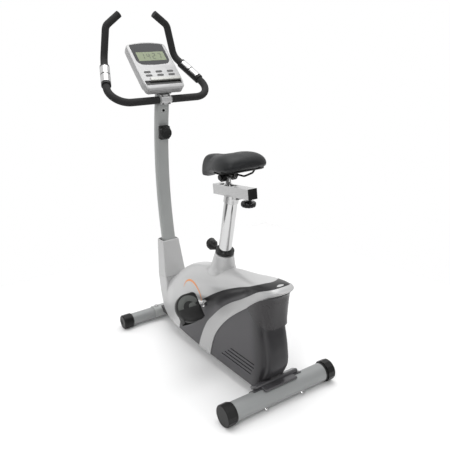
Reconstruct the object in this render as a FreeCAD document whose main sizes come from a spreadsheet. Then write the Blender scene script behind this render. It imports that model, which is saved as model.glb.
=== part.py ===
import FreeCAD, Part
import Sketcher
import math
import os
import re
from FreeCAD import Placement, Rotation, Vector

# Upright exercise bike. +X is forward, +Y is the rider's left, +Z is up; all sizes in millimetres.
# The origin lies on the floor under the middle of the bike.

doc = FreeCAD.newDocument("exercise_bike")
dims = doc.addObject("Spreadsheet::Sheet", "dims")

SIZES = [
    # stance: the two stabilizer tubes and what they carry
    ("rear_axis_x", -452), ("wheelbase", 893),
    ("rear_length", 500), ("rear_tube_dia", 72), ("rear_cap_flat", 80), ("rear_cap_length", 34),
    ("rear_collar_length", 9),
    ("front_length", 456), ("front_tube_dia", 57), ("roller_dia", 66), ("roller_length", 46),
    ("tube_wall", 2.5), ("running_gap", 0.05), ("clear_gap", 0.4),
    ("saddle_plate", 4), ("rear_plate_length", 220), ("front_plate_length", 130), ("rear_bolt_spread", 168),
    ("bolt_dia", 8), ("plug_depth", 22), ("roller_stub_dia", 16),
    # main frame
    ("beam_width", 50), ("beam_height", 30), ("beam_base", 81),
    ("crank_from_rear", 515), ("crank_height", 250), ("shell_dia", 42), ("shell_length", 54),
    ("bearing_dia", 32), ("axle_dia", 17), ("axle_length", 176),
    ("seat_axis_x", 316), ("seat_axis_z", 520), ("seat_lean", 14.9), ("seat_tube_dia", 60),
    ("seat_tube_bore", 55), ("seat_tube_top", 498),
    # drive
    ("crank_length", 155), ("crank_rise", 13), ("crank_arm_inner", 76), ("crank_arm_thick", 13),
    ("crank_boss_dia", 36), ("crank_eye_dia", 26), ("pulley_dia", 210), ("belt_plane", 37),
    ("belt_width", 8), ("belt_thick", 3), ("flywheel_from_rear", 170), ("flywheel_height", 240),
    ("flywheel_dia", 220), ("flywheel_width", 20), ("small_pulley_dia", 44), ("flywheel_axle_dia", 12),
    ("magnet_gap", 4), ("magnet_arm_width", 18), ("magnet_pin_dia", 8),
    ("pedal_inner", 108), ("pedal_width", 94), ("pedal_length", 106), ("pedal_thick", 20),
    ("pedal_swing", 130), ("spindle_dia", 12), ("strap_height", 44), ("strap_width", 43),
    ("strap_thick", 3),
    # covers
    ("cover_width", 124), ("cover_wall", 3), ("band_thick", 2.5), ("cover_base", 46),
    ("tail_height", 470), ("neck_base_dia", 92), ("neck_top_dia", 74),
    ("neck_top", 492), ("shroud_base", 264), ("shroud_top", 431),
    # handlebar post
    ("post_width", 60), ("post_depth", 36), ("post_wall", 2.5), ("post_radius", 1700),
    ("post_radius_z", 650), ("post_setback", 85), ("post_foot", 330), ("post_above_bar", 65),
    # handlebar
    ("bar_dia", 25), ("grip_dia", 31), ("bar_z", 1063), ("bar_setback", 165), ("bar_spread", 510),
    ("bar_tip_spread", 172), ("bar_tip_z", 1412), ("clamp_wall", 4), ("clamp_length", 46),
    ("sensor_dia", 37), ("sensor_length", 116),
    # seat
    ("seat_post_dia", 50), ("seat_post_wall", 2), ("seat_post_length", 420), ("seat_post_top", 727),
    ("rail_size", 38), ("rail_length", 228), ("rail_tilt", 4.1), ("rail_centre_x", 241),
    ("stub_dia", 22), ("stub_x", 277), ("stub_top", 800), ("rail_travel", 35),
    ("saddle_length", 296), ("saddle_width", 206), ("saddle_rear_x", 128), ("saddle_base", 842),
    ("saddle_thick", 40), ("saddle_rise", 23), ("wire_dia", 7), ("wire_spread", 44),
    # console
    ("console_width", 186), ("console_shoulder", 190), ("console_length", 262), ("console_depth", 38),
    ("console_face", 12), ("console_wall", 2.5), ("console_lean", 46),
    # knobs
    ("dial_dia", 60), ("dial_height", 24), ("dial_below_bar", 136), ("dial_base_width", 46),
    ("dial_base_height", 58), ("dial_base_depth", 16), ("seat_knob_dia", 44),
    ("rail_knob_dia", 54), ("rail_knob_height", 11),
]
for row, (alias, number) in enumerate(SIZES, start=1):
    dims.set("A%d" % row, str(number))
    dims.setAlias("A%d" % row, alias)
doc.recompute()

SCRATCH_CELL = "C1"
DIAL_Z = "bar_z - dial_below_bar"
MATH_WORDS = ("cos", "sin", "tan", "deg", "sqrt")
WORD = re.compile(r"[a-z]+(?:_[a-z]+)*")
X_AXIS = Vector(1, 0, 0)
Y_AXIS = Vector(0, 1, 0)
Z_AXIS = Vector(0, 0, 1)
nodes = []


def val(expression):
    """Number that the sheet gives for an expression in its own size names."""
    dims.set(SCRATCH_CELL, "=" + expression)
    dims.recompute()
    return float(dims.get(SCRATCH_CELL))


def bound(expression):
    def sheet_name(match):
        word = match.group(0)
        return word if word in MATH_WORDS else "dims." + word
    return WORD.sub(sheet_name, expression)


def bind(piece, **expressions):
    for name, expression in expressions.items():
        path = "Placement.Base." + name if name in ("x", "y", "z") else name
        piece.setExpression(path, bound(expression))
    return piece


def rod(name, x, y, z, radius, height, axis=Y_AXIS):
    """Solid cylinder that starts at a point and runs along an axis."""
    piece = doc.addObject("Part::Cylinder", name)
    piece.Placement.Rotation = Rotation(Z_AXIS, axis)
    return bind(piece, x=x, y=y, z=z, Radius=radius, Height=height)


def fuse(name, *pieces):
    piece = doc.addObject("Part::MultiFuse", name)
    piece.Shapes = list(pieces)
    return piece


def cut(name, base, *tools):
    piece = doc.addObject("Part::Cut", name)
    piece.Base = base
    piece.Tool = tools[0] if len(tools) == 1 else fuse(name + "_tools", *tools)
    return piece


def common(name, base, tool):
    piece = doc.addObject("Part::Common", name)
    piece.Base = base
    piece.Tool = tool
    return piece


def mirrored(name, source):
    """Right-hand twin of a left-hand piece."""
    piece = doc.addObject("Part::Mirroring", name)
    piece.Source = source
    piece.Normal = Y_AXIS
    return piece


def shaped(name, shape, place=None):
    """Piece whose form comes straight from Part's own functions."""
    piece = doc.addObject("Part::Feature", name)
    piece.Shape = shape
    if place is not None:
        piece.Placement = place
    return piece


def node(name, piece):
    piece.Label = name
    nodes.append((name, piece))
    return piece


def outline_sketch(body, name, role, points):
    plane = next(item for item in body.Origin.OriginFeatures if item.Role == role)
    sketch = body.newObject("Sketcher::SketchObject", name)
    sketch.AttachmentSupport = [(plane, "")]
    sketch.MapMode = "FlatFace"
    corners = [Vector(val(u), val(v), 0) for u, v in points]
    for start, end in zip(corners, corners[1:] + corners[:1]):
        sketch.addGeometry(Part.LineSegment(start, end))
    count = len(points)
    for index in range(count):
        sketch.addConstraint(Sketcher.Constraint("Coincident", index, 2, (index + 1) % count, 1))
    for index, (u, v) in enumerate(points):
        for kind, expression in (("DistanceX", u), ("DistanceY", v)):
            datum = sketch.addConstraint(Sketcher.Constraint(kind, -1, 1, index, 1, val(expression)))
            if WORD.search(expression):
                sketch.setExpression("Constraints[%d]" % datum, bound(expression))
    return sketch


def turned(name, points, x="0", y="0", z="0", axis=Z_AXIS, place=None):
    """Body of revolution: radius and height pairs, turned about its own axis."""
    body = doc.addObject("PartDesign::Body", name)
    sketch = outline_sketch(body, name + "_outline", "XZ_Plane", points)
    turn = body.newObject("PartDesign::Revolution", name + "_turn")
    turn.Profile = sketch
    turn.ReferenceAxis = (sketch, ["V_Axis"])
    turn.Angle = 360
    if place is not None:
        body.Placement = place
        return body
    body.Placement.Rotation = Rotation(Z_AXIS, axis)
    return bind(body, x=x, y=y, z=z)


def rounded_path(points, radii):
    """Straight runs joined by tangent arcs, one radius for each inner point."""
    edges = []
    start = points[0]
    for before, corner, after, radius in zip(points, points[1:], points[2:], radii):
        back = (before - corner).normalize()
        ahead = (after - corner).normalize()
        half = back.getAngle(ahead) / 2
        reach = radius / math.tan(half)
        middle = (back + ahead).normalize()
        centre = corner + middle * (radius / math.sin(half))
        first = corner + back * reach
        last = corner + ahead * reach
        edges.append(Part.LineSegment(start, first).toShape())
        edges.append(Part.Arc(first, centre - middle * radius, last).toShape())
        start = last
    edges.append(Part.LineSegment(start, points[-1]).toShape())
    return Part.Wire(edges)


def tube_along(path, radius):
    start = path.Edges[0]
    ring = Part.Circle(start.valueAt(start.FirstParameter), start.tangentAt(start.FirstParameter), radius)
    return path.makePipeShell([Part.Wire([ring.toShape()])], True, False)


def placed(shape, place):
    """Copy of a shape at a placement."""
    moved = shape.copy()
    moved.Placement = place
    return moved


def prism(points, direction, smooth=False):
    """Solid pushed out of a flat closed outline along a vector."""
    if smooth:
        curve = Part.BSplineCurve()
        curve.interpolate(points, PeriodicFlag=True)
        wire = Part.Wire([curve.toShape()])
    else:
        wire = Part.makePolygon(points + points[:1])
    return Part.Face(wire).extrude(direction)


def side_prism(outline, half_width):
    """Side-view outline, (distance ahead of the rear axis, height), pushed across the bike."""
    points = [Vector(rear_x + ahead, -half_width, height) for ahead, height in outline]
    return prism(points, Vector(0, 2 * half_width, 0))


def plan_prism(outline, low, high):
    """Half plan outline, (distance ahead of the rear axis, half width), mirrored and pushed up."""
    left = [Vector(rear_x + ahead, half, low) for ahead, half in outline]
    right = [Vector(point.x, -point.y, low) for point in reversed(left) if point.y > 0]
    return prism(left + right, Vector(0, 0, high - low))


rear_x = val("rear_axis_x")
front_x = val("rear_axis_x + wheelbase")
gap = val("running_gap")
clear = val("clear_gap")
REAR_Z = "rear_cap_flat / 2"
FRONT_X = "rear_axis_x + wheelbase"
FRONT_Z = "roller_dia / 2"
CRANK_X = "rear_axis_x + crank_from_rear"
WHEEL_X = "rear_axis_x + flywheel_from_rear"
REAR_BOLT_RISE = 36
FRONT_BOLT_RISE = 90
FRONT_BOLT_SIDE = 45


# ---------------------------------------------------------------- stance

def stabilizer(name, x, z, dia, length, bolt_half, bolt_rise):
    """Cross tube with a through hole for each of its two carriage bolts."""
    outer = rod(name + "_outer", x, "-(%s) / 2" % length, z, dia + " / 2", length)
    inner = rod(name + "_inner", x, "-(%s) / 2" % length, z, dia + " / 2 - tube_wall", length)
    rise = math.radians(bolt_rise)
    axis = Vector(math.cos(rise), 0, math.sin(rise))
    holes = []
    for sign in ("", "-"):
        for way in (1, -1):
            hole = "%s_hole_%d" % (name, len(holes))
            holes.append(rod(hole, x, sign + bolt_half, z, "bolt_dia / 2", dia, axis * way))
    return node(name, cut(name, outer, inner, *holes))


def ring_sector(x, z, inner, outer, half_length, low_angle, high_angle):
    """Part of a tube wall along Y, between two angles above +X."""
    start = math.radians(low_angle)
    flat = Part.makePolygon([
        Vector(x + inner * math.cos(start), -half_length, z + inner * math.sin(start)),
        Vector(x + outer * math.cos(start), -half_length, z + outer * math.sin(start)),
        Vector(x + outer * math.cos(start), half_length, z + outer * math.sin(start)),
        Vector(x + inner * math.cos(start), half_length, z + inner * math.sin(start)),
        Vector(x + inner * math.cos(start), -half_length, z + inner * math.sin(start)),
    ])
    return Part.Face(flat).revolve(Vector(x, 0, z), Y_AXIS, low_angle - high_angle)


def rear_cap(side, sign):
    """Levelling cap: a twelve-sided foot that turns on its spigot inside the tube."""
    corner = "rear_cap_flat / 2 / cos(15 deg)"
    profile = [("0", "0"), (corner + " - 3", "0"), (corner, "3"), (corner, "rear_cap_length"),
               ("rear_tube_dia / 2 + 1", "rear_cap_length"),
               ("rear_tube_dia / 2 + 1", "rear_cap_length + rear_collar_length"),
               ("rear_tube_dia / 2 - tube_wall - running_gap", "rear_cap_length + rear_collar_length"),
               ("rear_tube_dia / 2 - tube_wall - running_gap",
                "rear_cap_length + rear_collar_length + plug_depth"),
               ("0", "rear_cap_length + rear_collar_length + plug_depth")]
    name = "rear_cap_" + side
    turn = turned(name + "_round", profile, x="rear_axis_x", y=sign + "rear_length / 2", z=REAR_Z,
                  axis=Y_AXIS * (-1 if sign == "" else 1))
    facets = doc.addObject("Part::Prism", name + "_facets")
    facets.Polygon = 12
    facets.Placement.Rotation = Rotation(Z_AXIS, Y_AXIS * (-1 if sign == "" else 1))
    facets.Placement.Rotation = facets.Placement.Rotation * Rotation(Z_AXIS, 15)
    bind(facets, x="rear_axis_x", y=sign + "rear_length / 2", z=REAR_Z, Circumradius=corner,
         Height="rear_cap_length + rear_collar_length + plug_depth")
    return node(name, common(name, turn, facets))


def front_roller(side, sign):
    """Transport roller that spins on the stub of its plug."""
    stub = "roller_stub_dia / 2 + running_gap"
    profile = [(stub, "5"), ("11.4", "5"), ("11.4", "0"), ("roller_dia / 2 - 4", "0"), ("roller_dia / 2", "4"),
               ("roller_dia / 2", "roller_length - 2"), ("roller_dia / 2 - 2", "roller_length"),
               (stub, "roller_length")]
    name = "front_roller_" + side
    return node(name, turned(name, profile, x=FRONT_X, y=sign + "front_length / 2", z=FRONT_Z,
                             axis=Y_AXIS * (-1 if sign == "" else 1)))


def roller_plugs():
    """Two plugs pressed in the front tube, each with a headed stub for its roller."""
    plugs = []
    for side, sign in (("left", ""), ("right", "-")):
        tube = "front_tube_dia / 2 - tube_wall"
        profile = [("0", "1.5"), ("11", "1.5"), ("11", "4.7"), ("roller_stub_dia / 2", "4.7"),
                   ("roller_stub_dia / 2", "roller_length + clear_gap"),
                   ("front_tube_dia / 2", "roller_length + clear_gap"),
                   ("front_tube_dia / 2", "roller_length + 3"), (tube, "roller_length + 3"),
                   (tube, "roller_length + plug_depth"), ("0", "roller_length + plug_depth")]
        plugs.append(turned("roller_plug_" + side, profile, x=FRONT_X, y=sign + "front_length / 2",
                            z=FRONT_Z, axis=Y_AXIS * (-1 if sign == "" else 1)))
    return node("roller_plugs", fuse("roller_plugs", *plugs))


def saddle_plates():
    """Curved plates that seat the frame on the two cross tubes."""
    rear_radius = val("rear_tube_dia / 2")
    wall = val("saddle_plate")
    rear = ring_sector(rear_x, val(REAR_Z), rear_radius, rear_radius + wall, val("rear_plate_length / 2"),
                       -14, 88)
    node("rear_saddle_plate", shaped("rear_saddle_plate", rear.cut(rear_bolts("bolt_dia / 2"))))
    front_radius = val("front_tube_dia / 2")
    front = ring_sector(front_x, val(FRONT_Z), front_radius, front_radius + wall,
                        val("front_plate_length / 2"), -8, 205)
    node("front_saddle_plate", shaped("front_saddle_plate", front.cut(front_bolts("bolt_dia / 2"))))


def rear_bolt_axis():
    rise = math.radians(REAR_BOLT_RISE)
    return Vector(math.cos(rise), 0, math.sin(rise))


def rear_bolts(radius):
    """Shanks of the two bolts through the rear tube and its plate."""
    axis = rear_bolt_axis()
    shanks = []
    for side in (-1, 1):
        centre = Vector(rear_x, side * val("rear_bolt_spread / 2"), val(REAR_Z))
        foot = centre - axis * val("rear_tube_dia / 2")
        shanks.append(Part.makeCylinder(val(radius), val("rear_tube_dia + saddle_plate"), foot, axis))
    return Part.makeCompound(shanks)


def front_bolts(radius):
    """Shanks of the two bolts down through the front plate and tube."""
    shanks = []
    for side in (-1, 1):
        foot = Vector(front_x, side * FRONT_BOLT_SIDE, val("roller_dia / 2 - front_tube_dia / 2") - 1)
        shanks.append(Part.makeCylinder(val(radius), val("front_tube_dia + saddle_plate") + 1, foot, Z_AXIS))
    return Part.makeCompound(shanks)


# ---------------------------------------------------------------- main frame

lean = math.radians(val("seat_lean"))
SEAT_UP = Vector(-math.sin(lean), 0, math.cos(lean))
SEAT_AHEAD = Vector(math.cos(lean), 0, math.sin(lean))
seat_point = Vector(val("rear_axis_x + seat_axis_x"), 0, val("seat_axis_z"))


PIN_BORE = 5.2


def on_seat_axis(height):
    return seat_point + SEAT_UP * ((height - seat_point.z) / SEAT_UP.z)


def lock_point():
    """Where the seat's locking pin crosses the seat axis."""
    return on_seat_axis(val("seat_tube_top") - 18)


def post_centre(height):
    """Middle of the bowed handlebar post at a height."""
    radius = val("post_radius")
    drop = height - val("post_radius_z")
    bow = radius - math.sqrt(radius ** 2 - drop ** 2)
    return Vector(front_x - val("post_setback") - bow, 0, height)


def post_tangent(height):
    drop = height - val("post_radius_z")
    reach = math.sqrt(val("post_radius") ** 2 - drop ** 2)
    return Vector(-drop, 0, reach).normalize()


def seat_tube_solid(radius, low, high):
    base = on_seat_axis(low)
    return Part.makeCylinder(radius, (high - low) / SEAT_UP.z, base, SEAT_UP)


def post_stub():
    """Slanted stub that the handlebar post slips over."""
    top = post_centre(400)
    along = post_tangent(365)
    low = val("beam_base + beam_height") - 6
    length = (top.z - low) / along.z
    half_depth, half_width = 12, 23
    base = top - along * length
    across = Vector(along.z, 0, -along.x)
    corners = []
    for ahead, side in ((-1, -1), (1, -1), (1, 1), (-1, 1)):
        corners.append(base + across * (half_depth * ahead) + Y_AXIS * (half_width * side))
    return prism(corners, along * length)


def main_frame():
    """Weldment: beam, seat tube, crank shell, axle plates, post stub and the two saddle webs."""
    base = val("beam_base")
    top = val("beam_base + beam_height")
    half = val("beam_width / 2")
    hub_x = val(CRANK_X)
    hub_z = val("crank_height")
    wheel_x = val(WHEEL_X)
    wheel_z = val("flywheel_height")
    column_x = front_x - val("post_setback") - 70
    front_z = val(FRONT_Z)
    solids = [
        Part.makeBox(column_x + 60 - rear_x - 12, 2 * half, top - base, Vector(rear_x + 12, -half, base)),
        Part.makeBox(46, 2 * half, base - 48, Vector(rear_x + 12, -half, 50)),
        Part.makeBox(60, 2 * half, base - 36, Vector(column_x, -half, 38)),
        Part.makeBox(front_x - column_x - 4, 2 * half, 26, Vector(column_x, -half, 38)),
        Part.makeBox(26, 34, hub_z - top, Vector(hub_x - 13, -17, top)),
        Part.makeCylinder(val("shell_dia / 2"), val("shell_length"), Vector(hub_x, -val("shell_length / 2"), hub_z),
                          Y_AXIS),
        seat_tube_solid(val("seat_tube_dia / 2"), top - 6, val("seat_tube_top")),
        post_stub(),
        Part.makeBox(40, 77, 6, Vector(wheel_x - 20, -50, top)),
        Part.makeBox(30, 4, wheel_z + 16 - top, Vector(wheel_x - 15, 18, top)),
        Part.makeBox(30, 4, wheel_z + 16 - top, Vector(wheel_x - 15, -50, top)),
        Part.makeBox(72, 5, 16, Vector(pin_x - 6, 14, pin_z - 8)),
        Part.makeCylinder(val("magnet_pin_dia / 2"), 32, Vector(pin_x, -13, pin_z), Y_AXIS),
    ]
    bores = [
        Part.makeCylinder(val("rear_tube_dia / 2 + saddle_plate"), 80, Vector(rear_x, -40, val(REAR_Z)), Y_AXIS),
        Part.makeCylinder(val("front_tube_dia / 2 + saddle_plate"), 80, Vector(front_x, -40, front_z), Y_AXIS),
        Part.makeCylinder(val("bearing_dia / 2"), 120, Vector(hub_x, -60, hub_z), Y_AXIS),
        seat_tube_solid(val("seat_tube_bore / 2"), top + 14, val("seat_tube_top") + 20),
        Part.makeCylinder(val("flywheel_axle_dia / 2"), 120, Vector(wheel_x, -60, wheel_z), Y_AXIS),
        Part.makeCylinder(PIN_BORE, 60, lock_point(), SEAT_AHEAD),
    ]
    for height in POST_BOLT_HEIGHTS:
        bores.append(Part.makeCylinder(4, 100, post_centre(height) - X_AXIS * 50, X_AXIS))
    wall = val("tube_wall")
    hollow = Part.makeBox(column_x - rear_x - 72, 2 * (half - wall), top - base - 2 * wall,
                          Vector(rear_x + 66, wall - half, base + wall))
    frame = solids[0].cut(hollow).multiFuse(solids[1:]).cut(Part.makeCompound(bores))
    return node("main_frame", shaped("main_frame", frame.removeSplitter()))


POST_BOLT_HEIGHTS = (348, 384)
pin_angle = math.radians(20)
arm_inner = val("flywheel_dia / 2 + magnet_gap")
pin_x = val(WHEEL_X) + (arm_inner + 8) * math.cos(pin_angle)
pin_z = val("flywheel_height") + (arm_inner + 8) * math.sin(pin_angle)


# ---------------------------------------------------------------- drive

def crank_group():
    """Axle, pulley, arms and pedal spindles, which all turn together."""
    axle_profile = [("0", "0"), ("axle_dia / 2", "0"), ("axle_dia / 2", "axle_length"), ("0", "axle_length")]
    node("crank_axle", turned("crank_axle", axle_profile, x=CRANK_X, y="-axle_length / 2", z="crank_height",
                              axis=Y_AXIS))
    bearings = []
    for label, start in (("left", "shell_length / 2 - 10"), ("right", "-shell_length / 2")):
        ring = rod("bearing_" + label, CRANK_X, start, "crank_height", "bearing_dia / 2", "10")
        hole = rod("bearing_bore_" + label, CRANK_X, start, "crank_height", "axle_dia / 2 + running_gap", "10")
        bearings.append(cut("bearing_ring_" + label, ring, hole))
    node("crank_bearings", fuse("crank_bearings", *bearings))
    pulley()
    crank_arms()
    spindles = []
    for side, sign in (("left", 1), ("right", -1)):
        eye = crank_eye(sign)
        place = Placement(Vector(eye.x, sign * (val("crank_arm_inner") - 1), eye.z), Rotation(Z_AXIS, Y_AXIS * sign))
        reach = val("pedal_inner + pedal_width - crank_arm_inner") - 6
        rod_shape = Part.makeCylinder(val("spindle_dia / 2"), reach)
        collar = Part.makeCylinder(8.5, 7, Vector(0, 0, val("crank_arm_thick") + 6))
        head = Part.makeCylinder(8, 4, Vector(0, 0, reach))
        spindles.append(placed(rod_shape.fuse([collar, head]), place))
    node("pedal_spindles", shaped("pedal_spindles", Part.makeCompound(spindles)))


def crank_eye(sign):
    """Centre of a crank's pedal eye; the left one points back and up, the right one opposite."""
    rise = math.radians(val("crank_rise"))
    reach = val("crank_length") * sign
    return Vector(val(CRANK_X) - reach * math.cos(rise), 0, val("crank_height") + reach * math.sin(rise))


def pulley():
    """Grooved crank pulley with a thin web and six round windows."""
    rim = "pulley_dia / 2"
    profile = [("axle_dia / 2", "0"), ("26", "0"), ("26", "3"), (rim + " - 8", "3"), (rim + " - 8", "0"),
               (rim, "0"), (rim, "belt_width"), (rim + " - 8", "belt_width"), (rim + " - 8", "6"),
               ("26", "6"), ("26", "belt_width"), ("axle_dia / 2", "belt_width")]
    disc = turned("pulley_disc", profile, x=CRANK_X, y="-belt_plane - belt_width / 2", z="crank_height",
                  axis=Y_AXIS)
    windows = []
    for index in range(6):
        angle = math.radians(60 * index)
        window = rod("pulley_window_%d" % index, CRANK_X + " + pulley_dia * %.4f" % (0.3 * math.cos(angle)),
                     "-belt_plane - belt_width", "crank_height + pulley_dia * %.4f" % (0.3 * math.sin(angle)),
                     "pulley_dia / 12", "2 * belt_width")
        windows.append(window)
    return node("crank_pulley", cut("crank_pulley", disc, *windows))


def crank_arms():
    """Two flat arms: a wide boss on the axle, a narrow eye for the pedal spindle."""
    arms = []
    for sign in (1, -1):
        low = val("crank_arm_inner") if sign > 0 else -val("crank_arm_inner + crank_arm_thick")
        thick = val("crank_arm_thick")
        hub = Vector(val(CRANK_X), low, val("crank_height"))
        eye = crank_eye(sign)
        eye.y = low
        ahead = (eye - hub).normalize()
        across = ahead.cross(Y_AXIS)
        boss, end = val("crank_boss_dia / 2"), val("crank_eye_dia / 2")
        web = prism([hub + across * (boss - 4), eye + across * (end - 2), eye - across * (end - 2),
                     hub - across * (boss - 4)], Y_AXIS * thick)
        arm = Part.makeCylinder(boss, thick, hub, Y_AXIS).fuse([Part.makeCylinder(end, thick, eye, Y_AXIS), web])
        arm = arm.cut([Part.makeCylinder(val("axle_dia / 2"), thick, hub, Y_AXIS),
                       Part.makeCylinder(val("spindle_dia / 2"), thick, eye, Y_AXIS)])
        arms.append(arm.removeSplitter())
    return node("crank_arms", shaped("crank_arms", Part.makeCompound(arms)))


def flywheel_group():
    """Heavy wheel with its small belt pulley, on a fixed axle, and the brake's magnet arm."""
    bore = "flywheel_axle_dia / 2 + running_gap"
    rim = "flywheel_dia / 2"
    small = "small_pulley_dia / 2"
    low = "belt_plane + belt_width / 2"
    profile = [(bore, "0"), (small, "0"), (small, "belt_width"), ("15", "belt_width"), ("15", "35"),
               (rim + " - 20", "35"), (rim + " - 20", "31"), (rim, "31"),
               (rim, "31 + flywheel_width"), (rim + " - 20", "31 + flywheel_width"),
               (rim + " - 20", "27 + flywheel_width"), (bore, "27 + flywheel_width")]
    node("flywheel", turned("flywheel", profile, x=WHEEL_X, y="-(" + low + ")", z="flywheel_height",
                            axis=Y_AXIS))
    shaft = rod("flywheel_shaft", WHEEL_X, "-54", "flywheel_height", "flywheel_axle_dia / 2", "80")
    nuts = []
    for label, start in (("left", "22"), ("right", "-56")):
        nuts.append(rod("axle_nut_" + label, WHEEL_X, start, "flywheel_height", "10", "6"))
    node("flywheel_axle", fuse("flywheel_axle", shaft, *nuts))
    half = val("magnet_arm_width / 2")
    wheel = Vector(val(WHEEL_X), -half, val("flywheel_height"))
    arc = Part.makeCylinder(arm_inner + 12, 2 * half, wheel, Vector(0, 1, 0))
    arc = arc.cut(Part.makeCylinder(arm_inner, 2 * half, wheel, Y_AXIS))
    far = arm_inner + 60
    wedge = [wheel]
    for angle in (20, 46, 73, 100):
        turn = math.radians(angle)
        wedge.append(wheel + Vector(far * math.cos(turn), 0, far * math.sin(turn)))
    arm = arc.common(prism(wedge, Y_AXIS * 2 * half))
    arm = arm.fuse(Part.makeCylinder(10, 2 * half, Vector(pin_x, -half, pin_z), Y_AXIS))
    clearing = Part.makeCylinder(arm_inner, 2 * half, wheel, Y_AXIS)
    pin_bore = Part.makeCylinder(val("magnet_pin_dia / 2") + gap, 2 * half, Vector(pin_x, -half, pin_z), Y_AXIS)
    node("magnet_arm", shaped("magnet_arm", arm.cut([clearing, pin_bore]).removeSplitter()))


def belt():
    """Flat ribbed belt round the crank pulley and the small pulley."""
    hub = Vector(val(CRANK_X), 0, val("crank_height"))
    wheel = Vector(val(WHEEL_X), 0, val("flywheel_height"))
    low = -val("belt_plane + belt_width / 2") + 0.5
    width = val("belt_width") - 1

    def loop(grow):
        big, small = val("pulley_dia / 2") + grow, val("small_pulley_dia / 2") + grow
        line = wheel - hub
        reach = line.Length
        ahead = line * (1 / reach)
        across = Vector(-ahead.z, 0, ahead.x)
        slope = (big - small) / reach
        rise = math.sqrt(1 - slope ** 2)
        corners = []
        for centre, radius, way in ((hub, big, 1), (wheel, small, 1), (wheel, small, -1), (hub, big, -1)):
            point = centre + (ahead * slope + across * (rise * way)) * radius
            corners.append(Vector(point.x, low, point.z))
        flat = prism(corners, Y_AXIS * width)
        discs = []
        for centre, radius in ((hub, big), (wheel, small)):
            discs.append(Part.makeCylinder(radius, width, Vector(centre.x, low, centre.z), Y_AXIS))
        return flat.fuse(discs)

    skin = clear
    shape = loop(skin + val("belt_thick")).cut(loop(skin)).removeSplitter()
    return node("belt", shaped("belt", shape))


# ---------------------------------------------------------------- pedals

def pedals():
    """Platform pedals that hang toe down, each with a toe strap over its upper face."""
    for side, sign in (("left", 1), ("right", -1)):
        half = val("pedal_length / 2")
        width = val("pedal_width")
        thick = val("pedal_thick")
        arc = Part.Arc(Vector(-half, width * 0.42, 0), Vector(0, width, 0), Vector(half, width * 0.42, 0))
        inner = Part.makePolygon([arc.EndPoint, Vector(half, 0, 0), Vector(-half, 0, 0), arc.StartPoint])
        slab = Part.Face(Part.Wire([arc.toShape()] + inner.Edges)).extrude(Vector(0, 0, thick))
        slab.translate(Vector(0, 0, -thick / 2))
        ballast = Part.makeBox(half - 8, width - 26, 5, Vector(4, 8, -thick / 2 - 4))
        bore = Part.makeCylinder(val("spindle_dia / 2") + gap, width + 2, Vector(0, -1, 0), Y_AXIS)
        relief = Part.makeCylinder(8.6, 12, Vector(0, val("pedal_width") - 11, 0), Y_AXIS)
        body = slab.fuse(ballast).cut([bore, relief])
        strap = pedal_strap(width, thick)
        for shape in (body, strap):
            if sign < 0:
                shape.Placement = Placement()
        eye = crank_eye(sign)
        turn = Placement(Vector(eye.x, sign * val("pedal_inner"), eye.z),
                         Rotation(Y_AXIS, val("pedal_swing")))
        if sign < 0:
            body = body.mirror(Vector(0, 0, 0), Y_AXIS)
            strap = strap.mirror(Vector(0, 0, 0), Y_AXIS)
        node("pedal_" + side, shaped("pedal_" + side, body.removeSplitter(), turn))
        node("pedal_strap_" + side, shaped("pedal_strap_" + side, strap, turn))


def pedal_strap(width, thick):
    """Arched band over the toe half, with a foot down each side of the platform."""
    wall = val("strap_thick")
    high = thick / 2 + val("strap_height")
    outer_y = width - 8

    def arch(grow):
        left = Vector(0, -grow, -thick / 2 + 2)
        right = Vector(0, outer_y + grow, -thick / 2 + 2)
        shoulder = thick / 2 + 14
        crown = Part.Arc(Vector(0, -grow, shoulder), Vector(0, outer_y / 2, high + grow),
                         Vector(0, outer_y + grow, shoulder))
        legs = Part.makePolygon([crown.EndPoint, right, left, crown.StartPoint])
        return Part.Face(Part.Wire([crown.toShape()] + legs.Edges)).extrude(Vector(val("strap_width"), 0, 0))

    band = arch(wall + 0.2).cut(arch(0.2))
    band.translate(Vector(val("spindle_dia / 2") + 2.5, 0, 0))
    half = val("pedal_length / 2")
    trim = Part.makeBox(4 * half, width * 2, thick + 0.4, Vector(-2 * half, -width / 2, -thick / 2 - 0.2))
    arc = Part.Arc(Vector(-half - 0.2, width * 0.42, 0), Vector(0, width + 0.2, 0), Vector(half + 0.2, width * 0.42, 0))
    edge = Part.makePolygon([arc.EndPoint, Vector(half + 0.2, -0.2, 0), Vector(-half - 0.2, -0.2, 0),
                             arc.StartPoint])
    platform = Part.Face(Part.Wire([arc.toShape()] + edge.Edges)).extrude(Vector(0, 0, thick + 0.4))
    platform.translate(Vector(0, 0, -thick / 2 - 0.2))
    return band.cut(trim.common(platform)).removeSplitter()


# ---------------------------------------------------------------- covers

HALF = val("cover_width / 2")
BASE = val("cover_base")
TAIL = val("tail_height")
post_shift = val("wheelbase - post_setback") - 808


def stretched(outline):
    """Outline whose front part keeps its place behind the handlebar post."""
    return [(ahead + post_shift * min(max((ahead - 480) / 200, 0), 1), other) for ahead, other in outline]


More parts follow.
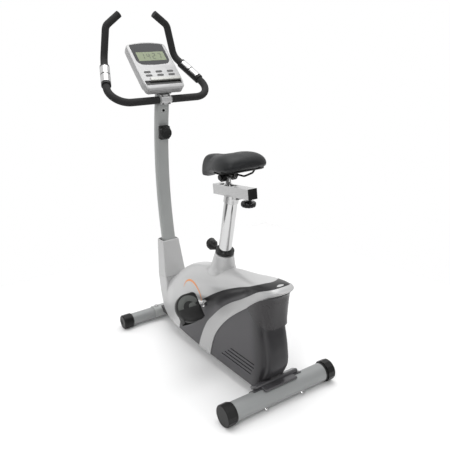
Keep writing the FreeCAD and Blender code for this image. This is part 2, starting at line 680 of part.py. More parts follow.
SIDE_OUTLINE = stretched([
    (58, BASE), (330, BASE), (540, BASE + 6), (792, BASE + 24), (815, 125), (829, 262), (745, 262),
    (722, 286), (690, 318), (640, 350), (580, 378), (520, 397), (450, 412), (380, 420), (315, 432),
    (220, 449), (94, TAIL - 6), (-12, TAIL), (-40, TAIL - 4), (-48, TAIL - 18), (-40, TAIL - 32),
    (-16, TAIL - 44), (10, 330), (-2, 240), (8, 150), (30, 90),
])
PLAN_OUTLINE = stretched([(-60, 0), (-56, 22), (-30, 40), (20, 52), (110, HALF), (760, HALF), (800, 55), (829, 40),
                          (829, 0)])
DARK_EDGE = [(-80, 452), (-30, 452), (20, 446), (90, 438), (240, 382), (330, 330), (410, 281), (500, 236), (565, 180),
             (610, 120), (640, 40), (600, -20), (-80, -20)]
BAND_UPPER = [(455, 20), (436, 100), (384, 185), (264, 298), (136, 378), (40, 428), (-30, 462)]
BAND_LOWER = [(-40, 436), (0, 418), (109, 351), (226, 263), (330, 145), (366, 60), (372, 20)]
TAIL_V = [(66, 372), (40, 336), (0, 306), (-60, 300), (-80, 440), (-40, 436), (0, 418)]


def inset(outline, amount):
    """Outline pulled in by an amount, corner by corner."""
    points = [Vector(u, v, 0) for u, v in outline]
    wire = Part.makePolygon(points + points[:1])
    smaller = wire.makeOffset2D(-amount, 2)
    return [(vertex.Point.x, vertex.Point.y) for vertex in smaller.OrderedVertexes]


def cover_solid(side_outline, half_width, plan_shift):
    """Closed solid of the casing: side outline and plan outline, crossed."""
    block = side_prism(side_outline, half_width)
    plan = [(ahead + (plan_shift if ahead < 100 else -plan_shift), max(half - plan_shift, 0))
            for ahead, half in PLAN_OUTLINE]
    return block.common(plan_prism(plan, -10, 600))


def neck_cone(shrink):
    top = on_seat_axis(val("neck_top"))
    base = on_seat_axis(400)
    return Part.makeCone(val("neck_base_dia / 2") - shrink, val("neck_top_dia / 2") - shrink,
                         (top - base).Length + (2 if shrink else 0), base, SEAT_UP)


def covers():
    wall = val("cover_wall")
    outside = cover_solid(SIDE_OUTLINE, HALF, 0).fuse(neck_cone(0))
    inner_outline = inset(SIDE_OUTLINE, wall)
    inside = cover_solid(inner_outline, HALF - wall, wall).fuse(neck_cone(wall))
    well = side_prism(stretched([(62, 0), (786, 0), (786, 80), (62, 80)]), HALF - wall)
    well = well.common(plan_prism([(ahead, max(half - wall, 0)) for ahead, half in PLAN_OUTLINE], -10, 100))
    openings = [
        Part.makeCylinder(val("crank_boss_dia / 2") + 4, 200, Vector(val(CRANK_X), -100, val("crank_height")), Y_AXIS),
        Part.makeBox(96, 94, 12, Vector(rear_x + post_shift + 735, -47, 256)),
        seat_tube_solid(val("neck_top_dia / 2") - wall, 486, 520),
    ]
    openings.append(Part.makeCylinder(8, 90, lock_point(), SEAT_AHEAD))
    openings.extend(beam_clearance())
    shell = outside.cut([inside, well] + openings)
    dark_zone = side_prism(DARK_EDGE, HALF + 20)
    vents = vent_cutters()
    left_half = Part.makeBox(1200, 200, 700, Vector(rear_x - 100, 0.15, -50))
    right_half = Part.makeBox(1200, 200, 700, Vector(rear_x - 100, -200.15, -50))
    upper = shell.cut(dark_zone)
    lower = shell.common(dark_zone).cut(Part.makeCompound(vents))
    for side, half in (("left", left_half), ("right", right_half)):
        node("housing_" + side, shaped("housing_" + side, largest(upper.common(half))))
        node("side_panel_" + side, shaped("side_panel_" + side, largest(lower.common(half))))
    band_solid(outside)


def beam_clearance():
    """Room in the covers for the beam where it leaves them at each end."""
    half = val("beam_width / 2") + clear
    top = val("beam_base + beam_height") + clear
    column_x = front_x - val("post_setback") - 70
    return [Part.makeBox(60, 2 * half, top - 40, Vector(rear_x + 8, -half, 40)),
            Part.makeBox(74, 2 * half, top - 30, Vector(column_x - 1, -half, 30))]


def largest(shape):
    """The main solid of a cut shape, without slivers."""
    return sorted(shape.Solids, key=lambda solid: solid.Volume)[-1]


def vent_cutters():
    """Four long slots low on each side, one above the other."""
    slots = []
    for index, (rear, front) in enumerate(((65, 215), (68, 236), (79, 258), (87, 281))):
        level = 140 - 16.5 * index
        slots.append(Part.makeBox(front - rear, 300, 5, Vector(rear_x + rear, -150, level)))
    return slots


def band_solid(outside):
    """Raised bands that sweep from the sill to the tail, and the tail lobe below them."""
    proud = val("band_thick")
    grown_outline = inset(SIDE_OUTLINE, -proud)
    grown = cover_solid(grown_outline, HALF + proud, -proud)
    layer = grown.cut(outside)
    band_zone = side_prism(BAND_UPPER + BAND_LOWER, HALF + 20)
    trim = side_prism([(-120, BASE), (500, BASE), (500, TAIL - 3), (-120, TAIL - 3)], HALF + 20)
    bands = layer.common(band_zone).common(trim)
    halves = []
    for low in (0.15, -200.15):
        halves.append(largest(bands.common(Part.makeBox(1200, 200, 700, Vector(rear_x - 100, low, -50)))))
    node("side_bands", shaped("side_bands", Part.makeCompound(halves)))
    lobe = layer.common(side_prism(TAIL_V, HALF + 20)).cut(bands)
    node("tail_cover", shaped("tail_cover", largest(lobe)))


def post_shroud():
    """Tapered sleeve that hides the foot of the handlebar post."""
    low, high = val("shroud_base"), val("shroud_top")
    wall = 2
    foot_rear, foot_front = post_shift + 746, post_shift + 829
    head_rear, head_front = post_shift + 770, post_shift + 836

    def ring(height, rear, front, half):
        points = [(rear, half - 10), (rear, -half + 10), (rear + 8, -half), (front - 16, -half),
                  (front, -half + 16), (front, half - 16), (front - 16, half), (rear + 8, half)]
        corners = [Vector(rear_x + ahead, across, height) for ahead, across in points]
        return Part.makePolygon(corners + corners[:1])

    outer = Part.makeLoft([ring(low, foot_rear, foot_front, 54), ring(high, head_rear, head_front, 41)], True, True)
    inner = Part.makeLoft([ring(low - 1, foot_rear + wall, foot_front - wall, 54 - wall),
                           ring(high - wall, head_rear + wall, head_front - wall, 41 - wall)], True, True)
    slot = Part.makeBox(val("post_depth") + 3, val("post_width") + 2, 60,
                        post_centre(high) - Vector(val("post_depth / 2") + 1.5, val("post_width / 2") + 1, 30))
    return node("post_shroud", shaped("post_shroud", outer.cut([inner, slot])))


# ---------------------------------------------------------------- handlebar post

def rounded_rectangle(depth, width, radius):
    """Closed outline across the post: depth along X, width along Y, at the arc's start."""
    points = []
    for sx, sy in ((1, 1), (-1, 1), (-1, -1), (1, -1)):
        centre = Vector(sx * (depth / 2 - radius), sy * (width / 2 - radius), 0)
        first = math.atan2(sy, sx) - math.pi / 4
        for step in range(5):
            angle = first + step * math.pi / 8
            points.append(centre + Vector(math.cos(angle), math.sin(angle), 0) * radius)
    return Part.makePolygon(points + points[:1])


def handlebar_post():
    """Bowed oval tube, with the handlebar's half collar welded near its top."""
    radius = val("post_radius")
    centre = Vector(front_x - val("post_setback") - radius, 0, val("post_radius_z"))
    low = math.degrees(math.asin((val("post_foot") - centre.z) / radius))
    high = math.degrees(math.asin((val("bar_z + post_above_bar") - centre.z) / radius))
    wall = val("post_wall")

    def bowed(depth, width, corner, extra):
        face = Part.Face(rounded_rectangle(depth, width, corner))
        face.translate(Vector(radius, 0, 0))
        solid = face.revolve(Vector(0, 0, 0), Y_AXIS, -(high - low + extra))
        solid.rotate(Vector(0, 0, 0), Y_AXIS, -low + extra / 2)
        solid.translate(centre)
        return solid

    tube = bowed(val("post_depth"), val("post_width"), 12, 0)
    hollow = bowed(val("post_depth") - 2 * wall, val("post_width") - 2 * wall, 12 - wall, 2)
    bar = bar_centre()
    length = val("clamp_length")
    collar = Part.makeBox(26, length, 2 * EAR_HALF, Vector(bar.x, -length / 2, bar.z - EAR_HALF))
    cuts = [hollow, above_console_back(0.2 + BRACKET_THICK), Part.makeCylinder(val("bar_dia / 2") + gap, length + 20, bar - Y_AXIS * (length / 2 + 10), Y_AXIS),
            Part.makeCylinder(6, 40, post_centre(val("bar_z") - 46) - X_AXIS * 40, X_AXIS),
            Part.makeCylinder(6, 40, post_centre(val(DIAL_Z)) - X_AXIS * 40, X_AXIS)]
    for height in POST_BOLT_HEIGHTS:
        cuts.append(Part.makeCylinder(4, 100, post_centre(height) - X_AXIS * 50, X_AXIS))
    for spot in clamp_screw_spots():
        cuts.append(Part.makeCylinder(2.5, 30, spot, X_AXIS))
    post = tube.fuse(collar)
    for tool in cuts:
        post = post.cut(tool)
    return node("handlebar_post", shaped("handlebar_post", largest(post)))


EAR_HALF = 20
EAR_THICK = 4
BRACKET_THICK = 4


def clamp_screw_spots():
    """Seats of the four screws that hold the bar's clamp."""
    bar = bar_centre()
    return [bar + Vector(-EAR_THICK - 0.2, side * 15, rise * 16) for side in (-1, 1) for rise in (-1, 1)]


def bar_centre():
    return Vector(front_x - val("bar_setback"), 0, val("bar_z"))


def handlebar_clamp():
    """Half-round cap that holds the bar against the post's collar."""
    bar = bar_centre()
    length = val("clamp_length")
    outer = Part.makeCylinder(val("bar_dia / 2 + clamp_wall"), length, bar - Y_AXIS * (length / 2), Y_AXIS)
    ears = Part.makeBox(EAR_THICK, length, 2 * EAR_HALF, Vector(bar.x - EAR_THICK - 0.2, -length / 2, bar.z - EAR_HALF))
    keep = Part.makeBox(40, length + 2, 60, Vector(bar.x - 40.2, -length / 2 - 1, bar.z - 30))
    bore = Part.makeCylinder(val("bar_dia / 2") + gap, length + 2, bar - Y_AXIS * (length / 2 + 1), Y_AXIS)
    shape = outer.fuse(ears).common(keep).cut(bore)
    for spot in clamp_screw_spots():
        shape = shape.cut(Part.makeCylinder(2.5, 20, spot, X_AXIS))
        shape = shape.cut(Part.makeCylinder(4.3, 20, spot, X_AXIS * -1))
    return node("handlebar_clamp", shaped("handlebar_clamp", shape.removeSplitter()))


# ---------------------------------------------------------------- handlebar

def bar_corner_points(sign):
    bar = bar_centre()
    half = val("bar_spread / 2")
    tip_z = val("bar_tip_z")
    low = Vector(bar.x, sign * half, bar.z)
    bend = Vector(bar.x + 208, sign * (half - 86), bar.z + 170)
    high = Vector(bar.x + 211, sign * (half - 110), tip_z - 44)
    tip = Vector(bar.x + 207, sign * val("bar_tip_spread / 2"), tip_z)
    return low, bend, high, tip


def handlebar():
    """One bent tube, its foam sleeves and the pulse sensors between them."""
    left = bar_corner_points(1)
    right = bar_corner_points(-1)
    points = list(reversed(left)) + list(right)
    radii = [36, 60, 75, 75, 60, 36]
    tube_path = rounded_path(points, radii)
    tube = tube_along(tube_path, val("bar_dia / 2")).cut(tube_along(tube_path, val("bar_dia / 2") - 1.8))
    node("handlebar_tube", shaped("handlebar_tube", tube))
    end = (points[0] - points[1]).normalize() * 5
    other = (points[-1] - points[-2]).normalize() * 5
    long_path = rounded_path([points[0] + end] + points[1:-1] + [points[-1] + other], radii)
    foam = tube_along(long_path, val("grip_dia / 2")).cut(tube_along(tube_path, val("bar_dia / 2") + 0.02))
    middle = Part.makeBox(60, 60, 80, bar_centre() - Vector(30, 30, 40))
    holders = []
    sleeves = []
    for points_side in (left, right):
        low, bend = points_side[0], points_side[1]
        along = (bend - low).normalize()
        start = low + along * ((bend - low).Length * 0.405)
        length = val("sensor_length")
        sleeves.append(Part.makeCylinder(val("sensor_dia / 2 + 4"), length, start, along))
        holder = Part.makeCylinder(val("sensor_dia / 2"), length - 1, start + along * 0.5, along)
        holders.append(holder.cut(Part.makeCylinder(val("bar_dia / 2") + 0.02, length, start, along)))
    foam = foam.cut(Part.makeCompound([middle] + sleeves))
    node("foam_grips", shaped("foam_grips", Part.makeCompound(foam.Solids)))
    node("pulse_sensors", shaped("pulse_sensors", Part.makeCompound(holders)))


# ---------------------------------------------------------------- seat

def seat_group():
    """Telescoping post with its slotted rail, the sliding carriage and the saddle."""
    radius = val("seat_post_dia / 2")
    top = on_seat_axis(val("seat_post_top"))
    length = val("seat_post_length")
    post = Part.makeCylinder(radius, length, top - SEAT_UP * length, SEAT_UP)
    post = post.cut(Part.makeCylinder(radius - val("seat_post_wall"), length, top - SEAT_UP * length, SEAT_UP))
    holes = []
    for index in range(10):
        spot = top - SEAT_UP * (length - 60 - 26 * index)
        holes.append(Part.makeCylinder(5, 40, spot, SEAT_AHEAD))
    node("seat_post", shaped("seat_post", post.cut(Part.makeCompound(holes))))
    bush_profile = [("seat_post_dia / 2 + running_gap", "0"), ("seat_tube_bore / 2", "0"),
                    ("seat_tube_bore / 2", "70"), ("neck_top_dia / 2", "70"), ("neck_top_dia / 2", "80"),
                    ("seat_post_dia / 2 + running_gap", "80")]
    foot = on_seat_axis(val("seat_tube_top")) - SEAT_UP * 70
    bush = turned("bush_ring", bush_profile, place=Placement(foot, Rotation(Z_AXIS, SEAT_UP)))
    pin_hole = shaped("bush_pin_hole", Part.makeCylinder(PIN_BORE, 60, lock_point(), SEAT_AHEAD))
    node("seat_post_bush", cut("seat_post_bush", bush, pin_hole))
    knob = [("0", "0"), ("4.5", "0"), ("4.5", "36"), ("9", "36"), ("seat_knob_dia / 2 - 5", "50"),
            ("seat_knob_dia / 2", "58"), ("seat_knob_dia / 2", "72"), ("seat_knob_dia / 2 - 4", "76"), ("0", "76")]
    tip = lock_point() + SEAT_AHEAD * (radius + 0.6)
    node("seat_lock_knob", turned("seat_lock_knob", knob, place=Placement(tip, Rotation(Z_AXIS, SEAT_AHEAD))))


tilt = math.radians(val("rail_tilt"))
RAIL_BACK = Vector(-math.cos(tilt), 0, math.sin(tilt))
RAIL_UP = Vector(math.sin(tilt), 0, math.cos(tilt))
RAIL_TURN = Rotation(Y_AXIS, val("rail_tilt"))


def rail_middle():
    top = on_seat_axis(val("seat_post_top"))
    x = val("rear_axis_x + rail_centre_x")
    slope = math.tan(tilt)
    return Vector(x, 0, top.z + 9 + val("rail_size / 2") + (top.x - x) * slope)


def rail_group():
    """Square rail on the post, the carriage that slides in it, and the knob that locks it."""
    middle = rail_middle()
    size, length = val("rail_size"), val("rail_length")
    place = Placement(middle, RAIL_TURN)
    outer = Part.makeBox(length, size, size, Vector(-length / 2, -size / 2, -size / 2))
    inner = Part.makeBox(length - 12, size - 5, size - 5, Vector(-length / 2 + 6, -size / 2 + 2.5, -size / 2 + 2.5))
    stub_x = val("rear_axis_x + stub_x") - middle.x
    travel = val("rail_travel")
    stub = val("stub_dia / 2")
    slot = Part.makeBox(2 * (travel + stub + 3), 2 * stub + 1, 20,
                        Vector(stub_x - travel - stub - 3, -stub - 0.5, size / 2 - 10))
    knob_x = -length / 2 + 30
    thread = Part.makeCylinder(5, 20, Vector(knob_x, 0, -size / 2 - 10))
    boss = Part.makeCylinder(11, 10, Vector(knob_x, 0, -size / 2 - 10))
    gusset = Part.makeBox(70, 30, 10, Vector(-30, -15, -size / 2 - 10))
    rail = outer.fuse([boss, gusset]).cut([inner, slot, thread])
    collar = seat_collar(place)
    rail = placed(rail, place).fuse(collar)
    post_shape = seat_tube_solid(val("seat_post_dia / 2"), 600, val("seat_post_top"))
    node("seat_rail", shaped("seat_rail", largest(rail.cut(post_shape))))
    block = Part.makeBox(70, size - 5 - 2 * clear, size - 5 - 2 * clear,
                         Vector(stub_x - 35, -size / 2 + 2.5 + clear, -size / 2 + 2.5 + clear))
    block = placed(block, place)
    foot = middle + RAIL_BACK * (-stub_x)
    stub_top = Vector(foot.x, 0, val("stub_top"))
    post = Part.makeCylinder(stub, stub_top.z - foot.z, foot, Z_AXIS)
    flange = Part.makeCylinder(stub + 5, 4, foot + RAIL_UP * (size / 2 + clear), RAIL_UP)
    barrel = Part.makeCylinder(10, 32, stub_top + Vector(0, -16, 6), Y_AXIS)
    bore = Part.makeCylinder(4 + gap, 40, stub_top + Vector(0, -20, 6), Y_AXIS)
    carriage = block.fuse([post, flange, barrel]).cut(bore)
    node("slider_carriage", shaped("slider_carriage", carriage.removeSplitter()))
    knob = [("0", "0"), ("rail_knob_dia / 2 - 3", "0"), ("rail_knob_dia / 2", "3"),
            ("rail_knob_dia / 2", "rail_knob_height"), ("13", "rail_knob_height + 3"), ("9", "rail_knob_height + 12"),
            ("4.9", "rail_knob_height + 12"), ("4.9", "rail_knob_height + 24.6"), ("0", "rail_knob_height + 24.6")]
    tip = place.multVec(Vector(knob_x, 0, -size / 2 - 10.4)) - RAIL_UP * val("rail_knob_height + 12")
    node("rail_knob", turned("rail_knob", knob, place=Placement(tip, Rotation(Z_AXIS, RAIL_UP))))


def seat_collar(place):
    """Short sleeve that joins the rail to the head of the post."""
    top = val("seat_post_top")
    sleeve = seat_tube_solid(val("seat_post_dia / 2") + 3, top - 16, top + 20)
    size = val("rail_size")
    above = placed(Part.makeBox(300, 80, 60), Placement(place.multVec(Vector(-150, -40, -size / 2 + 1)), RAIL_TURN))
    return sleeve.cut(above)


def saddle_group():
    """Clamp with its cross bolt, two bent wires, the pan and the pad."""
    pivot = Vector(stub_pivot().x, 0, stub_pivot().z)
    half = val("wire_spread / 2")
    wire = val("wire_dia / 2")
    cheeks = []
    for sign in (1, -1):
        low = 17 if sign > 0 else -31
        cheeks.append(Part.makeCylinder(17, 14, pivot + Vector(0, low, 0), Y_AXIS))
        nut = 31 if sign > 0 else -39
        cheeks.append(Part.makeCylinder(10, 8, pivot + Vector(0, nut, 0), Y_AXIS))
    bridge = Part.makeBox(30, 62, 8, pivot + Vector(-15, -31, 11))
    pin = Part.makeCylinder(4, 76, pivot + Vector(0, -38, 0), Y_AXIS)
    wires = []
    for sign in (1, -1):
        y = sign * half
        points = [Vector(rear_x + 392, sign * 12, val("saddle_base") - 1), Vector(rear_x + 372, sign * 14, pivot.z + 14),
                  Vector(rear_x + 330, y, pivot.z + 7), Vector(rear_x + 205, y, pivot.z + 7),
                  Vector(rear_x + 176, y + sign * 16, pivot.z + 22),
                  Vector(rear_x + 168, y + sign * 20, val("saddle_base") - 1)]
        wires.append(tube_along(rounded_path(points, [12, 18, 22, 14]), wire))
    clamp = cheeks[0].fuse(cheeks[1:] + [bridge]).cut(Part.makeCylinder(10.5, 33, pivot + Vector(0, -16.5, 0), Y_AXIS))
    clamp = clamp.fuse(pin).cut(Part.makeCompound(wires))
    node("saddle_clamp", shaped("saddle_clamp", clamp))
    base = val("saddle_base")
    pan = saddle_solid(0.86, base, base + 6)
    node("saddle_rails", shaped("saddle_rails", Part.makeCompound([wire.cut(pan) for wire in wires])))
    node("saddle_pan", shaped("saddle_pan", pan))
    pad = saddle_solid(1.0, base - 4, base + 80).cut(saddle_solid(0.875, base - 10, base + 6.3))
    node("saddle_pad", shaped("saddle_pad", pad.removeSplitter()))


def stub_pivot():
    middle = rail_middle()
    stub_x = val("rear_axis_x + stub_x") - middle.x
    foot = middle + RAIL_BACK * (-stub_x)
    return Vector(foot.x, 0, val("stub_top") + 6)


def saddle_solid(share, low, high):
    """Saddle form: plan outline crossed with its side outline, at a share of the full plan."""
    length, half = val("saddle_length"), val("saddle_width / 2")
    rear = rear_x + val("saddle_rear_x")
    plan = [(0.0, 0.55), (0.05, 0.86), (0.16, 1.0), (0.30, 0.93), (0.44, 0.66), (0.60, 0.42), (0.80, 0.31),
            (0.95, 0.25), (1.0, 0.12)]
    middle = 0.45
    left = []
    for along, across in plan:
        ahead = middle + (along - middle) * share
        left.append(Vector(rear + length * ahead, half * across * share, low))
    right = [Vector(point.x, -point.y, low) for point in reversed(left)]
    block = prism(left + right, Vector(0, 0, high - low))
    base, thick, rise = val("saddle_base"), val("saddle_thick"), val("saddle_rise")
    side = [(0.0, base + 16), (0.0, base + thick + rise - 12), (0.10, base + thick + rise),
            (0.30, base + thick + rise * 0.45), (0.55, base + thick * 0.86), (0.85, base + thick * 0.72),
            (1.0, base + thick * 0.45), (1.02, base - 22), (0.93, base - 12), (0.80, base - 4), (0.10, base - 4)]
    side_points = [Vector(rear + length * along, -half - 5, height) for along, height in side]
    return block.common(prism(side_points, Vector(0, 2 * half + 10, 0)))


# ---------------------------------------------------------------- console

console_turn = math.radians(val("console_lean"))
FACE_UP = Vector(math.cos(console_turn), 0, math.sin(console_turn))
FACE_OUT = Vector(-math.sin(console_turn), 0, math.cos(console_turn))


def console_place():
    """Console frame: local X to the rider's right, Y up the face, Z out of it, from the lower lip."""
    lip = Vector(front_x - val("bar_setback") - 17, 0, val("bar_z") + 41) + FACE_OUT * 10
    return Placement(lip, Rotation(Y_AXIS * -1, FACE_UP, FACE_OUT, "ZXY"))


def console_outline(shrink):
    top = val("console_width / 2") - shrink
    shoulder = val("console_shoulder / 2") - shrink
    low = val("console_width / 2") + 1 - shrink
    high = val("console_length") - shrink
    half = [(low - 12, shrink), (low, 10 + shrink), (shoulder, 30), (top + 2, 130), (top, high - 20),
            (top - 6, high - 6), (top - 20, high)]
    points = [Vector(u, v, 0) for u, v in half] + [Vector(-u, v, 0) for u, v in reversed(half)]
    return Part.makePolygon(points + points[:1])


BUTTON_SPOTS = [(-53, 91), (0, 91), (53, 91), (-53, 72), (0, 72), (53, 72)]


def oval(cx, cy, length, width):
    half = (length - width) / 2
    bar = Part.makeBox(2 * half, width, 10, Vector(cx - half, cy - width / 2, 0))
    ends = [Part.makeCylinder(width / 2, 10, Vector(cx + side * half, cy, 0)) for side in (-1, 1)]
    return bar.fuse(ends).removeSplitter()


def lifted(shape, low, height):
    """Cutter or cap ten deep, scaled to start at one level and end at another."""
    matrix = FreeCAD.Matrix()
    matrix.scale(1, 1, height / 10)
    matrix.move(Vector(0, 0, low))
    return shape.transformGeometry(matrix)


def console():
    place = console_place()
    depth, face, wall = val("console_depth"), val("console_face"), val("console_wall")
    front = Part.Face(console_outline(0)).extrude(Vector(0, 0, face))
    front.translate(Vector(0, 0, -face))
    pocket = Part.Face(console_outline(wall)).extrude(Vector(0, 0, face - wall))
    pocket.translate(Vector(0, 0, -face))
    window = Part.makeBox(156, 120, 20, Vector(-78, 128, -10))
    key_holes = [lifted(oval(cx, cy, 30.8, 9.8), -8, 12) for cx, cy in BUTTON_SPOTS]
    ledge = Part.makeBox(166, 24, 20, Vector(-83, 22, -10))
    front = front.cut([pocket, window, ledge] + key_holes)
    back = Part.Face(console_outline(0)).extrude(Vector(0, 0, depth - face))
    back.translate(Vector(0, 0, -depth))
    hollow = Part.Face(console_outline(wall)).extrude(Vector(0, 0, depth))
    hollow.translate(Vector(0, 0, -depth + wall))
    back = back.cut(hollow)
    lens = Part.makeBox(155.6, 119.6, 2, Vector(-77.8, 128.2, -2.2))
    panel = Part.makeBox(130, 60, 6, Vector(-65, 150, -9))
    board = Part.makeBox(130, 190, 1.6, Vector(-65, 46, -14))
    local = [("console_front", front), ("console_back", back), ("console_window", lens), ("lcd_panel", panel.fuse(board))]
    for name, shape in local:
        node(name, shaped(name, shape, place))
    for index, (cx, cy) in enumerate(BUTTON_SPOTS, start=1):
        cap = lifted(oval(cx, cy, 30, 9), -7.6, 9.2)
        node("console_button_%d" % index, shaped("console_button_%d" % index, cap, place))
    plate = placed_local(Part.makeBox(70, 56, BRACKET_THICK), Vector(-35, 4, -depth - BRACKET_THICK))
    half_depth, half_width = val("post_depth / 2 - post_wall") - 2.5, val("post_width / 2 - post_wall") - 6
    foot = post_centre(val("bar_z") - 23)
    along = (post_centre(val("bar_z") + 77) - foot).normalize()
    across = Vector(along.z, 0, -along.x)
    corners = []
    for ahead, side in ((-1, -1), (1, -1), (1, 1), (-1, 1)):
        corners.append(foot + across * (half_depth * ahead) + Y_AXIS * (half_width * side))
    tongue = prism(corners, along * 110)
    bracket = tongue.cut(above_console_back(BRACKET_THICK / 2)).fuse(plate)
    bracket = bracket.cut(Part.makeCylinder(val("bar_dia / 2") + 1, 90, bar_centre() - Y_AXIS * 45, Y_AXIS))
    for spot in clamp_screw_spots():
        bracket = bracket.cut(Part.makeCylinder(2.7, 20, spot, X_AXIS))
    node("console_bracket", shaped("console_bracket", largest(bracket)))


def placed_local(shape, corner):
    """Shape given in the console's own frame, moved to its place."""
    place = console_place()
    return placed(shape, Placement(place.multVec(corner), place.Rotation))


def above_console_back(distance):
    """Everything above a plane that far below the console's back."""
    depth = val("console_depth") + distance
    return placed_local(Part.makeBox(600, 600, 200), Vector(-300, -300, -depth))


# ---------------------------------------------------------------- tension control

def dial_axis():
    """Out of the post's rear face at the dial's height."""
    along = post_tangent(val(DIAL_Z))
    return Vector(-along.z, 0, along.x)


def tension_control():
    axis = dial_axis()
    centre = post_centre(val(DIAL_Z))
    face = centre + axis * (val("post_depth / 2") + 0.6)
    depth = val("dial_base_depth")
    turn = Rotation(Y_AXIS, axis.cross(Y_AXIS) * -1, axis, "ZXY")
    width, height = val("dial_base_width"), val("dial_base_height")
    base = Part.makeBox(width, height, depth, Vector(-width / 2, -height / 2, 0))
    base = base.makeFillet(6, [edge for edge in base.Edges if abs(edge.tangentAt(edge.FirstParameter).z) > 0.9])
    base = base.cut(Part.makeCylinder(5 + gap, depth, Vector(0, 0, 0)))
    node("tension_dial_base", shaped("tension_dial_base", base, Placement(face, turn)))
    knob = [("0", "0"), ("5", "0"), ("5", "dial_base_depth + clear_gap"), ("dial_dia / 2", "dial_base_depth + clear_gap"),
            ("dial_dia / 2", "dial_base_depth + clear_gap + 5"), ("dial_dia / 2 - 4", "dial_base_depth + clear_gap + 8"),
            ("dial_dia / 2 - 8", "dial_base_depth + dial_height"), ("0", "dial_base_depth + dial_height")]
    node("tension_knob", turned("tension_knob", knob, place=Placement(face, Rotation(Z_AXIS, axis))))
    tension_cable(centre)


def tension_cable(start):
    """Cable from the dial down inside the post, then along the left wall to the brake."""
    beside_stub = Y_AXIS * 25.2
    points = [start - Z_AXIS * 12 + Y_AXIS * 14]
    for drop in (127, 267, 407):
        points.append(post_centre(val(DIAL_Z) - drop) + Y_AXIS * 14)
    points.append(post_centre(430) + beside_stub)
    points.append(post_centre(380) + beside_stub)
    points.append(post_centre(326) + beside_stub)
    route = [(776, 34, 236), (700, 44, 205), (560, 45, 196), (430, 45, 214), (350, 32, 268)]
    for ahead, side, height in route:
        moved = stretched([(ahead, height)])[0]
        points.append(Vector(rear_x + moved[0], side, moved[1]))
    radii = [600, 600, 400, 200, 300, 200, 30, 60, 120, 120]
    return node("tension_cable", shaped("tension_cable", tube_along(rounded_path(points, radii), CABLE_RADIUS)))


CABLE_RADIUS = 1.8


# ---------------------------------------------------------------- fasteners

def fasteners():
    """Every bolt of the fixed structure, each a solid of its own."""
    pieces = []
    axis = rear_bolt_axis()
    for shank in rear_bolts("bolt_dia / 2").Solids:
        low = shank.CenterOfMass - axis * val("rear_tube_dia / 2 + saddle_plate / 2")
        high = shank.CenterOfMass + axis * val("rear_tube_dia / 2 + saddle_plate / 2")
        nut = Part.makeCylinder(7, 5, low - axis * 5, axis)
        head = Part.makeCylinder(9, 4, high, axis)
        pieces.append(shank.fuse([nut, Part.makeSphere(5.5, low - axis * 5), head]))
    for shank in front_bolts("bolt_dia / 2").Solids:
        top = Vector(shank.CenterOfMass.x, shank.CenterOfMass.y, shank.BoundBox.ZMax)
        pieces.append(shank.fuse(Part.makeCylinder(9, 4, top, Z_AXIS)))
    reach = val("post_depth / 2") + 2.4
    for height in POST_BOLT_HEIGHTS:
        centre = post_centre(height)
        rear = val("post_depth / 2") + 0.6
        pieces.append(Part.makeCylinder(4, reach + rear, centre - X_AXIS * rear, X_AXIS).fuse(
            Part.makeCylinder(7, 5, centre + X_AXIS * reach, X_AXIS)))
    for spot in clamp_screw_spots():
        pieces.append(Part.makeCylinder(2.5, 18, spot, X_AXIS).fuse(
            Part.makeCylinder(4, 4, spot - X_AXIS * 4, X_AXIS)))
    return node("fasteners", shaped("fasteners", Part.makeCompound(pieces)))


stabilizer("rear_stabilizer", "rear_axis_x", REAR_Z, "rear_tube_dia",
           "rear_length - 2 * rear_cap_length - 2 * rear_collar_length", "rear_bolt_spread / 2", REAR_BOLT_RISE)
stabilizer("front_stabilizer", FRONT_X, FRONT_Z, "front_tube_dia", "front_length - 2 * roller_length - 6",
           str(FRONT_BOLT_SIDE), FRONT_BOLT_RISE)
for side, sign in (("left", ""), ("right", "-")):
    rear_cap(side, sign)
    front_roller(side, sign)
roller_plugs()
saddle_plates()
main_frame()
crank_group()
flywheel_group()
belt()
pedals()
covers()
post_shroud()
handlebar_post()
handlebar_clamp()
handlebar()
seat_group()
rail_group()
saddle_group()
console()
tension_control()
fasteners()
doc.recompute()

problems = []
for item in doc.Objects:
    if "Invalid" in item.State or "Error" in item.State:
        problems.append("%s is %s" % (item.Name, item.State))
for name, piece in nodes:
    if piece.Shape.isNull() or not piece.Shape.isValid() or not piece.Shape.Solids:
        problems.append("%s has no valid solid" % name)
if problems:
    raise RuntimeError("; ".join(problems))

os.makedirs("parts", exist_ok=True)
for name, piece in nodes:
    piece.Shape.exportStep("parts/%s.step" % name)
print(len(nodes), "parts written")
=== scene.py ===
import math
import bpy
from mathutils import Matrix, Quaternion, Vector


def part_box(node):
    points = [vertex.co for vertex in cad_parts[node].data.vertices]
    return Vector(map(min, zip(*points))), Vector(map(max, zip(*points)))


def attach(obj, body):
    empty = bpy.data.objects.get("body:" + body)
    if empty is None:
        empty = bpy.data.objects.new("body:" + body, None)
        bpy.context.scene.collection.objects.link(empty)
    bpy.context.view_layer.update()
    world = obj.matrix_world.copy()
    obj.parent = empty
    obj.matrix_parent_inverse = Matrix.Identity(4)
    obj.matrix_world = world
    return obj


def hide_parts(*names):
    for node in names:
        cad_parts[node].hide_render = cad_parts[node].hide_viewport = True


# Upright exercise bike: the looks of every piece, in metres, +X forward and +Z up.

